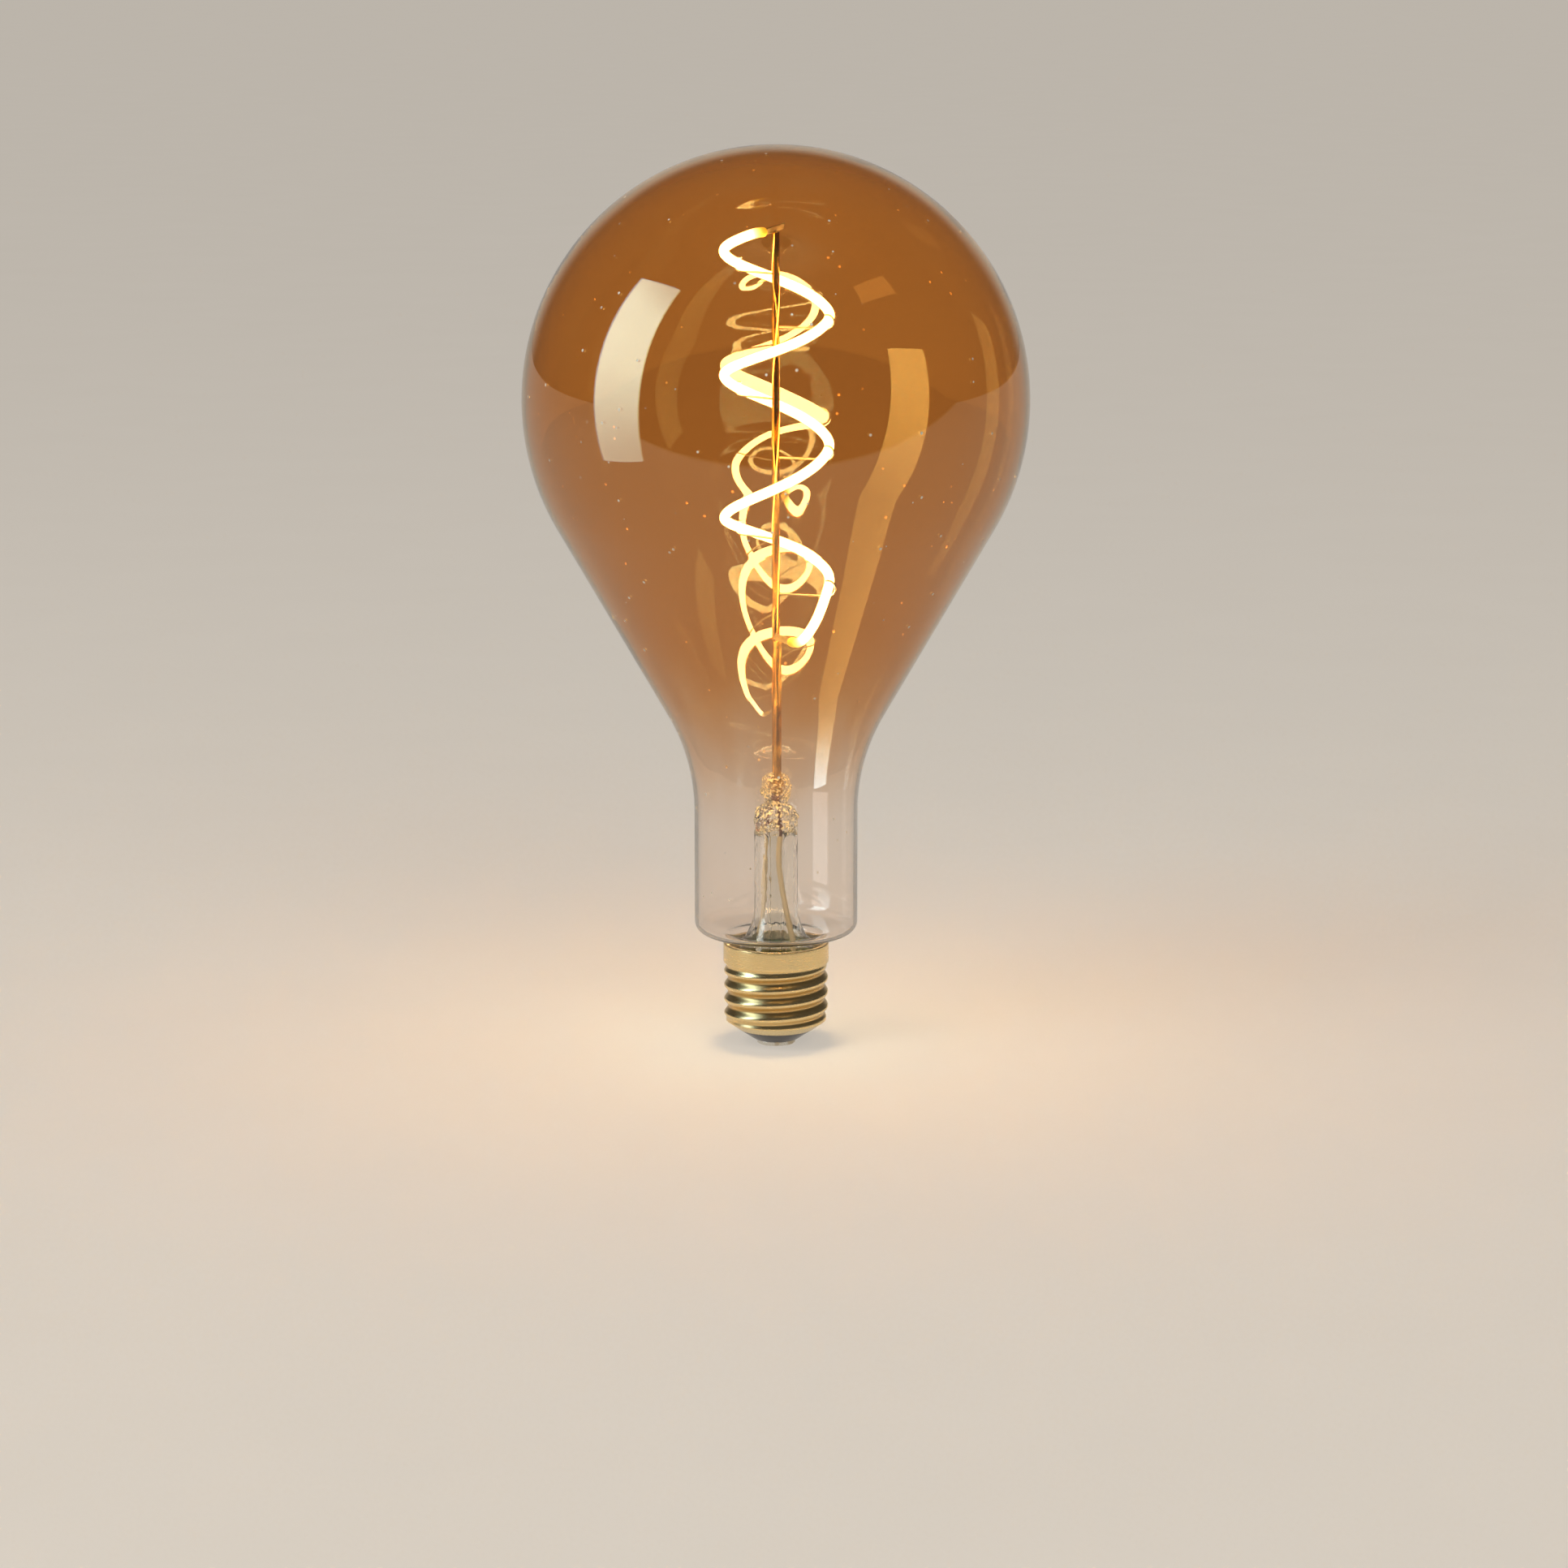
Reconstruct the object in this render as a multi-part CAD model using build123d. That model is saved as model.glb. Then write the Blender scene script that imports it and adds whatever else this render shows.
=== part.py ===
from build123d import *

import os
from math import acos, cos, degrees, hypot, pi, radians, sin, tan

# Lamp with a blown amber globe and one long spiral filament, on a screw cap.
# The origin is the centre of the contact's bottom face, and +Z runs up the lamp's axis.
# Sizes are in millimetres and angles in degrees.

# Glass: globe, taper and neck
GLOBE_DIAMETER = 125.0
TAPER_ANGLE = 30.0
SHOULDER_RADIUS = 49.2
NECK_DIAMETER = 40.8
NECK_LENGTH = 28.0
NECK_CORNER_RADIUS = 3.0
NECK_FLOOR_SLOPE = 14.0
GLASS_WALL = 0.9
SEAL_FILLET = 1.2

# Screw cap
CAP_HEIGHT = 26.0
THREAD_DIAMETER = 26.2
THREAD_DEPTH = 1.0
THREAD_PITCH = 3.629
THREAD_FADE = 2.0
THREAD_BOTTOM = 6.0
SHELL_WALL = 0.35
SKIRT_STEP = 0.15
SKIRT_LENGTH = 5.0
LIP_WIDTH = 2.8
LIP_DROP = 2.0
RIM_GAP = 0.3
CEMENT_THICKNESS = 0.8
THREAD_SAMPLE_COUNT = 49
THREAD_SECTION_COUNT = 12

# Contact in the cap's insulated tip
CONTACT_DIAMETER = 9.6
CONTACT_THICKNESS = 1.2
CONTACT_EDGE_RADIUS = 0.5
RIVET_DIAMETER = 3.0
RIVET_HEAD_DIAMETER = 5.2
RIVET_HEAD_THICKNESS = 0.8
INSULATOR_MARGIN = 0.8

# Glass stem
EXHAUST_DIAMETER = 4.2
EXHAUST_WALL = 0.8
EXHAUST_REACH = 3.5
LEAD_ROOM = 1.15
STEM_WALL = 0.9
STEM_TUBE_LENGTH = 19.6
FLARE_RADIUS = 16.0
DOME_THICKNESS = 1.8
DOME_RISE = 4.2
PINCH_LENGTH = 1.9
PINCH_COVER = 0.6
BEAD_HEIGHT = 6.1
BEAD_COVER = 0.75
BEAD_SHOULDER = 0.3
BLOW_HOLE_DIAMETER = 1.6
BLOW_HOLE_SLOPE = 45.0
BLOW_HOLE_DIRECTION = 30.0

# Rods that carry the filament, and the wires from them down to the board
LEAD_DIAMETER = 1.9
LEAD_SPACING = 2.6
UPPER_LEAD_SETBACK = 0.6
LOWER_LEAD_OFFSET = 0.4
LOWER_LEAD_RISE = 33.9
LEAD_STOP = 1.1
CROWN_GAP = 20.3
SEAL_WIRE_DIAMETER = 0.8
WELD_OVERLAP = 0.6
OUTER_LEAD_DIAMETER = 1.3
OUTER_LEAD_DROP = 1.4
OUTER_LEAD_TAIL = 0.6
UPPER_ROUTE_ANGLES = (134, 143, 157, 156)
UPPER_HOLE_ANGLE = 154
LOWER_ROUTE_ANGLES = (-73, -81, -69, -49)
LOWER_HOLE_ANGLE = -28
LEAD_HOLE_CIRCLE = 10.0

# Filament, its terminals and its supports
FILAMENT_DIAMETER = 2.4
COIL_DIAMETER = 25.4
COIL_TOP_DROP = 4.7
HALF_TURN_DROPS = (15.7, 14.7, 17.2, 18.2, 14.6)
HALF_TURN_STEP_COUNT = 6
APEX_PULL = 0.6
END_RUN = 4.4
LOWER_END_STEPS = (0.8, 1.4)
LOWER_END_SHARES = (0.3, 0.65)
TERMINAL_WIDTH = 1.6
TERMINAL_THICKNESS = 0.35
TERMINAL_REACH = 3.8
UPPER_TERMINAL_ANGLE = 50.0
UPPER_TERMINAL_OVERHANG = 3.0
LOWER_TERMINAL_ANGLE = 135.0
LOWER_TERMINAL_OVERHANG = 1.0
HOOK_WIRE_DIAMETER = 0.5
HOOK_CLEARANCE = 0.1
HOOK_WRAP = 200.0

# Driver inside the cap
BOARD_THICKNESS = 1.0
BOARD_DROP = 1.0
BOARD_CLEARANCE = 0.25
LEAD_HOLE_CLEARANCE = 0.1
RECTIFIER_ANGLE = 110
RECTIFIER_PINS = 2
CHIP_ANGLE = -67
CHIP_PINS = 4
CHIP_WIDTH = 3.9
CHIP_LENGTH = 4.9
CHIP_HEIGHT = 1.5
PIN_WIDTH = 0.4
PIN_REACH = 0.6
PIN_THICKNESS = 0.4
CAPACITOR_ANGLE = 40
CAPACITOR_DIAMETER = 6.3
CAPACITOR_ROOM = 5.0
CAPACITOR_EDGE_RADIUS = 0.5
CAPACITOR_GROOVE_DROP = 1.4
CAPACITOR_GROOVE_RADIUS = 0.4
RESISTOR_ANGLE = 196
RESISTOR_DIAMETER = 2.4
RESISTOR_LENGTH = 6.0
RESISTOR_CAP_LENGTH = 1.2
RESISTOR_CAP_STEP = 0.12
CONTACT_WIRE_ANGLE = 240
CONTACT_WIRE_DIAMETER = 1.2
SHELL_WIRE_ANGLE = 200
SHELL_WIRE_DIAMETER = 0.7
SHELL_WIRE_CLEARANCE = 0.15

# An arc takes this share of the shorter run on each side of a bend
ARC_SHARE = 0.45

# Radii and heights of the cap and the seal inside it
sleeve_radius = (THREAD_DIAMETER - THREAD_DEPTH) / 2
sleeve_bore = sleeve_radius - SHELL_WALL
thread_bore = sleeve_bore - THREAD_DEPTH / 2
skirt_radius = THREAD_DIAMETER / 2 + SKIRT_STEP
skirt_bore = skirt_radius - SHELL_WALL
skirt_bottom = CAP_HEIGHT - SKIRT_LENGTH
shell_step = skirt_bottom + SHELL_WALL
lip_radius = sleeve_radius - LIP_WIDTH
lip_bottom = THREAD_BOTTOM - LIP_DROP
lip_top = lip_bottom + LIP_DROP * SHELL_WALL / LIP_WIDTH
rivet_top = THREAD_BOTTOM + RIVET_HEAD_THICKNESS
seal_radius = skirt_bore - CEMENT_THICKNESS
seal_bore = seal_radius - GLASS_WALL
seal_top = CAP_HEIGHT + RIM_GAP
seal_bottom = shell_step + SHELL_WIRE_DIAMETER + 2 * SHELL_WIRE_CLEARANCE

# Centres of the glass outline's arcs, as radius and height
taper = radians(TAPER_ANGLE)
floor_slope = radians(NECK_FLOOR_SLOPE)
globe_radius = GLOBE_DIAMETER / 2
neck_radius = NECK_DIAMETER / 2
seal_fillet_radius = seal_radius + SEAL_FILLET
corner_radius = neck_radius - NECK_CORNER_RADIUS
floor_rise = NECK_CORNER_RADIUS + SEAL_FILLET - sin(floor_slope) * (seal_fillet_radius - corner_radius)
corner_height = seal_top + floor_rise / cos(floor_slope)
shoulder_radius = neck_radius + SHOULDER_RADIUS
shoulder_height = corner_height + NECK_LENGTH
taper_rise = globe_radius + SHOULDER_RADIUS - cos(taper) * shoulder_radius
globe_height = shoulder_height + taper_rise / sin(taper)
crown_height = globe_height + globe_radius - GLASS_WALL

# Radii and heights of the stem
exhaust_radius = EXHAUST_DIAMETER / 2
stem_bore = exhaust_radius + OUTER_LEAD_DIAMETER + LEAD_ROOM
stem_radius = stem_bore + STEM_WALL
flare_centre = stem_radius + FLARE_RADIUS
flare_inner_angle = acos((flare_centre - seal_bore) / (FLARE_RADIUS + STEM_WALL))
flare_outer_angle = acos((flare_centre - seal_bore) / FLARE_RADIUS)
flare_top = seal_bottom + (FLARE_RADIUS + STEM_WALL) * sin(flare_inner_angle)
stem_ceiling = flare_top + STEM_TUBE_LENGTH
dome_side = stem_ceiling + DOME_THICKNESS
dome_top = dome_side + DOME_RISE
bead_bottom = dome_top + PINCH_LENGTH
bead_top = bead_bottom + BEAD_HEIGHT

# Places and heights of the two rods and the board
upper_place = Vector(0, UPPER_LEAD_SETBACK)
lower_place = Vector(LOWER_LEAD_OFFSET, UPPER_LEAD_SETBACK - LEAD_SPACING)
lead_bottom = bead_bottom + LEAD_STOP
upper_lead_top = crown_height - CROWN_GAP
lower_lead_top = bead_top + LOWER_LEAD_RISE
board_top = skirt_bottom - BOARD_DROP
board_bottom = board_top - BOARD_THICKNESS
board_radius = thread_bore - BOARD_CLEARANCE
board_bore = exhaust_radius + BOARD_CLEARANCE
component_circle = (board_radius + board_bore) / 2

ON_BOTTOM = (Align.CENTER, Align.CENTER, Align.MIN)
ON_TOP = (Align.CENTER, Align.CENTER, Align.MAX)


def polar(radius, angle, height=0):
    """Point at a radius and a direction round the lamp's axis."""
    return Vector(radius * cos(radians(angle)), radius * sin(radians(angle)), height)


def turned(outline):
    """Solid turned about the lamp's axis from a closed half outline of radius and height."""
    return revolve(Plane.XZ * make_face(outline), Axis.Z)


def column(radius, bottom, top, place=Vector()):
    """Upright cylinder between two heights."""
    return Pos(place.X, place.Y, bottom) * Cylinder(radius, top - bottom, align=ON_BOTTOM)


def swept(path, diameter):
    """Round wire along a path."""
    return sweep(Plane(origin=path @ 0, z_dir=path % 0) * Circle(diameter / 2), path=path)


def bent_wire(points, diameter):
    """Round wire along straight runs, with the largest tangent arc that fits at each bend."""
    radii = []
    for before, bend, after in zip(points, points[1:], points[2:]):
        run_in = bend - before
        run_out = after - bend
        half_turn = radians(run_in.get_angle(run_out)) / 2
        radii.append(ARC_SHARE * min(run_in.length, run_out.length) / tan(half_turn))
    return swept(FilletPolyline(*points, radius=radii), diameter)


def glass_outline(inset):
    """Half outline of the glass from the globe's top to the seal's end, moved inwards by inset."""
    globe = CenterArc((0, globe_height), globe_radius - inset, 90, -90 - TAPER_ANGLE)
    shoulder = CenterArc(
        (shoulder_radius, shoulder_height), SHOULDER_RADIUS + inset, 180 - TAPER_ANGLE, TAPER_ANGLE
    )
    corner = CenterArc((corner_radius, corner_height), NECK_CORNER_RADIUS - inset, 0, NECK_FLOOR_SLOPE - 90)
    seal_curve = CenterArc(
        (seal_fillet_radius, seal_top), SEAL_FILLET + inset, 90 + NECK_FLOOR_SLOPE, 90 - NECK_FLOOR_SLOPE
    )
    return [
        globe,
        Line(globe @ 1, shoulder @ 0),
        shoulder,
        Line(shoulder @ 1, corner @ 0),
        corner,
        Line(corner @ 1, seal_curve @ 0),
        seal_curve,
        Line(seal_curve @ 1, (seal_radius - inset, seal_bottom)),
    ]


def glass_envelope():
    """Blown globe, taper and neck of one wall, open at the seal."""
    outside = glass_outline(0)
    inside = glass_outline(GLASS_WALL)
    crown = Line(inside[0] @ 0, outside[0] @ 0)
    seal_end = Line(outside[-1] @ 1, inside[-1] @ 1)
    return turned([*outside, seal_end, *inside, crown])


def stem_glass(wires):
    """Flared tube, closed dome, pinch and bead, fused round the wires that pass through it."""
    centre = (flare_centre, flare_top)
    outer_flare = CenterArc(centre, FLARE_RADIUS, 180, degrees(flare_outer_angle))
    inner_flare = CenterArc(centre, FLARE_RADIUS + STEM_WALL, 180, degrees(flare_inner_angle))
    wire_reach = hypot(lower_place.X, lower_place.Y)
    pinch_radius = wire_reach + SEAL_WIRE_DIAMETER / 2 + PINCH_COVER
    bead_edge = wire_reach + LEAD_DIAMETER / 2
    dome = TangentArc((stem_radius, dome_side), (pinch_radius, dome_top), tangent=(0, 1))
    bead = ThreePointArc(
        (pinch_radius, bead_bottom),
        (bead_edge + BEAD_COVER, (bead_bottom + bead_top) / 2),
        (bead_edge + BEAD_SHOULDER, bead_top),
    )
    outline = [
        Line(inner_flare @ 1, outer_flare @ 1),
        outer_flare,
        Line(outer_flare @ 0, dome @ 0),
        dome,
        Line(dome @ 1, bead @ 0),
        bead,
        Line(bead @ 1, (0, bead_top)),
        Line((0, bead_top), (0, stem_ceiling)),
        Line((0, stem_ceiling), (stem_bore, stem_ceiling)),
        Line((stem_bore, stem_ceiling), inner_flare @ 0),
        inner_flare,
    ]
    blow_hole = Cylinder(BLOW_HOLE_DIAMETER / 2, 2 * stem_radius, align=ON_BOTTOM)
    aim = Rot(0, 0, BLOW_HOLE_DIRECTION) * Rot(0, BLOW_HOLE_SLOPE, 0)
    glass = turned(outline) - Pos(0, 0, stem_ceiling) * aim * blow_hole
    for wire in wires:
        glass -= wire
    return glass


def exhaust_tube():
    """Thin tube from the stem's ceiling, melted shut to a round tip below the board."""
    tip = board_bottom - EXHAUST_REACH + exhaust_radius
    bore = exhaust_radius - EXHAUST_WALL
    outside = column(exhaust_radius, tip, stem_ceiling) + Pos(0, 0, tip) * Sphere(exhaust_radius)
    inside = column(bore, tip, stem_ceiling) + Pos(0, 0, tip) * Sphere(bore)
    return outside - inside


def outer_lead_route(angles, hole_angle):
    """Points midway between the stem and the exhaust tube, then out to a hole in the board."""
    middle = (exhaust_radius + stem_bore) / 2
    start = stem_ceiling - OUTER_LEAD_DROP
    step = (start - flare_top) / (len(angles) - 1)
    route = [polar(middle, angle, start - step * index) for index, angle in enumerate(angles)]
    below_flare = board_top + (flare_top - board_top) / 3
    route.append(polar(LEAD_HOLE_CIRCLE / 2, hole_angle, below_flare))
    route.append(polar(LEAD_HOLE_CIRCLE / 2, hole_angle, board_bottom - OUTER_LEAD_TAIL))
    return route


def seal_wire(place, lead, route, outer_lead):
    """Thin straight wire through the pinch, butted to a rod above and an outer lead below."""
    above = Vector(place.X, place.Y, lead_bottom)
    overlap = (above - route[0]).normalized() * WELD_OVERLAP
    return swept(Line(above + overlap, route[0] - overlap), SEAL_WIRE_DIAMETER) - lead - outer_lead


def filament_corners():
    """Corners of the filament's line from its upper end to its lower end.

    The coil is right-handed. It starts at the left and falls half a turn at a time, by uneven drops,
    pulled out a little at the right by the hooks there. Its two ends bend in to the rods.
    """
    step_angle = 180 / HALF_TURN_STEP_COUNT
    radius = COIL_DIAMETER / 2 / cos(radians(step_angle / 2))
    level = Vector(0, 0, TERMINAL_THICKNESS / 2)
    upper_way = polar(1, UPPER_TERMINAL_ANGLE)
    lower_way = polar(1, LOWER_TERMINAL_ANGLE)
    upper_end = upper_place + Vector(0, 0, upper_lead_top) + level - upper_way * TERMINAL_REACH
    lower_end = lower_place + Vector(0, 0, lower_lead_top) + level - lower_way * TERMINAL_REACH

    angle = 180
    height = upper_lead_top - COIL_TOP_DROP
    first_rise = polar(radius, angle + step_angle, (height + upper_end.Z) / 2)
    corners = [upper_end, upper_end - upper_way * END_RUN, first_rise, polar(radius, angle, height)]
    for half_turn, drop in enumerate(HALF_TURN_DROPS):
        for step in range(1, HALF_TURN_STEP_COUNT + 1):
            angle -= step_angle
            height -= drop / HALF_TURN_STEP_COUNT
            at_right = step == HALF_TURN_STEP_COUNT and half_turn % 2 == 0
            corners.append(polar(radius + APEX_PULL * at_right, angle, height))
    for steps, share in zip(LOWER_END_STEPS, LOWER_END_SHARES):
        corners.append(polar(radius, angle - steps * step_angle, height + share * (lower_end.Z - height)))
    return [*corners, lower_end - lower_way * END_RUN, lower_end]


def hooked_runs():
    """Runs of the filament that a hook carries: one past each left corner and one at each right corner."""
    first_coil_corner = 3
    lefts_and_rights = range(first_coil_corner, len(corners), HALF_TURN_STEP_COUNT)
    starts = [corner + 1 - half_turn % 2 for half_turn, corner in enumerate(lefts_and_rights)]
    return [(corners[start], corners[start + 1]) for start in starts[: len(HALF_TURN_DROPS) + 1]]


def terminal(place, lead_top, angle, overhang):
    """Flat metal strip from the filament's end over the rod's top."""
    start = place - polar(TERMINAL_REACH, angle)
    size = (TERMINAL_REACH + overhang, TERMINAL_WIDTH, TERMINAL_THICKNESS)
    strip = Box(*size, align=(Align.MIN, Align.CENTER, Align.MIN))
    return Pos(start.X, start.Y, lead_top) * Rot(0, 0, angle) * strip


def support_hook(run_start, run_end):
    """Wire from the tall rod, under the filament and up round its outer side."""
    middle = (run_start + run_end) / 2
    run = run_end - run_start
    filament_half_height = FILAMENT_DIAMETER / 2 * run.length / hypot(run.X, run.Y)
    ring = filament_half_height + HOOK_CLEARANCE + HOOK_WIRE_DIAMETER / 2
    reach = Vector(middle.X, middle.Y) - upper_place
    upright = Plane(
        origin=(upper_place.X, upper_place.Y, middle.Z),
        x_dir=reach,
        z_dir=reach.cross(Vector(0, 0, 1)),
    )
    straight = Line((0, -ring), (reach.length, -ring))
    curl = CenterArc((reach.length, 0), ring, -90, HOOK_WRAP)
    return swept(upright * Wire([straight, curl]), HOOK_WIRE_DIAMETER) - upper_lead


def thread_section(angle):
    """Section of the rolled sleeve at one angle: a wave of one pitch that fades out at both ends."""
    shares = [index / (THREAD_SAMPLE_COUNT - 1) for index in range(THREAD_SAMPLE_COUNT)]
    length = skirt_bottom - THREAD_BOTTOM

    def wall_curve(inset):
        points = []
        for share in shares:
            height = share * length
            fade = min(1, height / THREAD_FADE, (length - height) / THREAD_FADE)
            swell = THREAD_DEPTH / 2 * fade * fade * (3 - 2 * fade)
            radius = sleeve_radius - inset + swell * cos(2 * pi * height / THREAD_PITCH - angle)
            points.append(polar(radius, degrees(angle), THREAD_BOTTOM + height))
        return Edge.make_spline(points, parameters=shares)

    outer = wall_curve(0)
    inner = wall_curve(SHELL_WALL)
    return Wire([outer, Edge.make_line(outer @ 1, inner @ 1), inner, Edge.make_line(inner @ 0, outer @ 0)])


def cap_shell():
    """Thin pressed shell: turned-in lip, rolled thread and plain skirt."""
    shell = Part()
    for half in range(2):
        angles = [pi * (half + index / THREAD_SECTION_COUNT) for index in range(THREAD_SECTION_COUNT + 1)]
        shell += Solid.make_loft([thread_section(angle) for angle in angles])
    skirt = Polyline(
        (sleeve_bore, skirt_bottom),
        (skirt_radius, skirt_bottom),
        (skirt_radius, CAP_HEIGHT),
        (skirt_bore, CAP_HEIGHT),
        (skirt_bore, shell_step),
        (sleeve_bore, shell_step),
        close=True,
    )
    lip = Polyline(
        (sleeve_bore, THREAD_BOTTOM),
        (sleeve_radius, THREAD_BOTTOM),
        (lip_radius, lip_bottom),
        (lip_radius, lip_top),
        close=True,
    )
    return shell + turned(skirt) + turned(lip)


def cap_insulator():
    """Black tip moulded into the shell's lip round the rivet."""
    rivet_radius = RIVET_DIAMETER / 2
    outline = Polyline(
        (rivet_radius, CONTACT_THICKNESS),
        (CONTACT_DIAMETER / 2 + INSULATOR_MARGIN, CONTACT_THICKNESS),
        (lip_radius, lip_bottom),
        (lip_radius, lip_top),
        (sleeve_bore, THREAD_BOTTOM),
        (rivet_radius, THREAD_BOTTOM),
        close=True,
    )
    return turned(outline)


def centre_contact():
    """Flat contact with its rivet through the insulator."""
    disc = column(CONTACT_DIAMETER / 2, 0, CONTACT_THICKNESS)
    disc = fillet(disc.edges().sort_by(Axis.Z)[:1], CONTACT_EDGE_RADIUS)
    shank = column(RIVET_DIAMETER / 2, CONTACT_THICKNESS, THREAD_BOTTOM)
    return disc + shank + column(RIVET_HEAD_DIAMETER / 2, THREAD_BOTTOM, rivet_top)


def basing_cement():
    """Ring of cement between the glass seal and the shell's skirt."""
    return column(skirt_bore, seal_bottom, CAP_HEIGHT) - column(seal_radius, seal_bottom, CAP_HEIGHT)


def driver_board(lead_routes):
    """Round board with holes for the exhaust tube and the two leads."""
    board = column(board_radius, board_bottom, board_top) - column(board_bore, board_bottom, board_top)
    for route in lead_routes:
        hole_radius = OUTER_LEAD_DIAMETER / 2 + LEAD_HOLE_CLEARANCE
        board -= column(hole_radius, board_bottom, board_top, route[-1])
    return board


def chip(angle, pins_per_side):
    """Moulded component under the board, with flat pins along two sides."""
    body = Box(CHIP_LENGTH, CHIP_WIDTH, CHIP_HEIGHT, align=ON_TOP)
    pin_pair = Box(PIN_WIDTH, CHIP_WIDTH + 2 * PIN_REACH, PIN_THICKNESS, align=ON_TOP)
    pitch = CHIP_LENGTH / pins_per_side
    for index in range(pins_per_side):
        body += Pos(pitch * (index + 0.5) - CHIP_LENGTH / 2, 0, 0) * pin_pair
    return Pos(polar(component_circle, angle, board_bottom)) * body


def capacitor():
    """Can under the board, with a rolled groove near its foot and a rounded end."""
    radius = CAPACITOR_DIAMETER / 2
    can = Cylinder(radius, board_bottom - THREAD_BOTTOM - CAPACITOR_ROOM, align=ON_TOP)
    can = fillet(can.edges().sort_by(Axis.Z)[:1], CAPACITOR_EDGE_RADIUS)
    can -= Pos(0, 0, -CAPACITOR_GROOVE_DROP) * Torus(radius, CAPACITOR_GROOVE_RADIUS)
    return Pos(polar(component_circle, CAPACITOR_ANGLE, board_bottom)) * can


def fuse_resistor():
    """Small resistor lying under the board, with a metal cap at each end."""
    radius = RESISTOR_DIAMETER / 2
    body = Cylinder(radius - RESISTOR_CAP_STEP, RESISTOR_LENGTH)
    for end in (-1, 1):
        place = Pos(0, 0, end * (RESISTOR_LENGTH - RESISTOR_CAP_LENGTH) / 2)
        body += place * Cylinder(radius, RESISTOR_CAP_LENGTH)
    return Pos(polar(component_circle, RESISTOR_ANGLE, board_bottom - radius)) * Rot(90, 0, 0) * body


def contact_wire():
    """Insulated wire from the board down to the rivet's head."""
    third = (board_bottom - rivet_top) / 3
    points = [
        polar(component_circle, CONTACT_WIRE_ANGLE, board_bottom),
        polar(component_circle, CONTACT_WIRE_ANGLE, board_bottom - 1.5 * third),
        Vector(0, 0, rivet_top + third),
        Vector(0, 0, rivet_top),
    ]
    return bent_wire(points, CONTACT_WIRE_DIAMETER)


def shell_wire():
    """Bare wire from the board's edge out over the shell's step to the skirt."""
    height = shell_step + SHELL_WIRE_CLEARANCE / 2 + SHELL_WIRE_DIAMETER / 2
    foot = board_radius - 2 * SHELL_WIRE_DIAMETER
    points = [
        polar(foot, SHELL_WIRE_ANGLE, board_top),
        polar(foot, SHELL_WIRE_ANGLE, height),
        polar(skirt_bore - SHELL_WIRE_CLEARANCE / 2, SHELL_WIRE_ANGLE, height),
    ]
    return bent_wire(points, SHELL_WIRE_DIAMETER)


upper_lead = column(LEAD_DIAMETER / 2, lead_bottom, upper_lead_top, upper_place)
lower_lead = column(LEAD_DIAMETER / 2, lead_bottom, lower_lead_top, lower_place)
upper_route = outer_lead_route(UPPER_ROUTE_ANGLES, UPPER_HOLE_ANGLE)
lower_route = outer_lead_route(LOWER_ROUTE_ANGLES, LOWER_HOLE_ANGLE)
upper_outer_lead = bent_wire(upper_route, OUTER_LEAD_DIAMETER)
lower_outer_lead = bent_wire(lower_route, OUTER_LEAD_DIAMETER)
upper_seal_wire = seal_wire(upper_place, upper_lead, upper_route, upper_outer_lead)
lower_seal_wire = seal_wire(lower_place, lower_lead, lower_route, lower_outer_lead)
corners = filament_corners()

nodes = {
    "glass_envelope": glass_envelope(),
    "stem_glass": stem_glass([upper_lead, lower_lead, upper_seal_wire, lower_seal_wire]),
    "exhaust_tube": exhaust_tube(),
    "upper_lead": upper_lead,
    "lower_lead": lower_lead,
    "upper_seal_wire": upper_seal_wire,
    "lower_seal_wire": lower_seal_wire,
    "upper_outer_lead": upper_outer_lead,
    "lower_outer_lead": lower_outer_lead,
    "filament": bent_wire(corners, FILAMENT_DIAMETER),
    "upper_terminal": terminal(upper_place, upper_lead_top, UPPER_TERMINAL_ANGLE, UPPER_TERMINAL_OVERHANG),
    "lower_terminal": terminal(lower_place, lower_lead_top, LOWER_TERMINAL_ANGLE, LOWER_TERMINAL_OVERHANG),
    "cap_shell": cap_shell(),
    "cap_insulator": cap_insulator(),
    "centre_contact": centre_contact(),
    "basing_cement": basing_cement(),
    "driver_board": driver_board([upper_route, lower_route]),
    "rectifier": chip(RECTIFIER_ANGLE, RECTIFIER_PINS),
    "driver_chip": chip(CHIP_ANGLE, CHIP_PINS),
    "capacitor": capacitor(),
    "fuse_resistor": fuse_resistor(),
    "contact_wire": contact_wire(),
    "shell_wire": shell_wire(),
}
for number, (run_start, run_end) in enumerate(hooked_runs(), 1):
    nodes[f"support_hook_{number}"] = support_hook(run_start, run_end)

os.makedirs("parts", exist_ok=True)
for name, solid in nodes.items():
    export_step(solid, f"parts/{name}.step")
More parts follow.
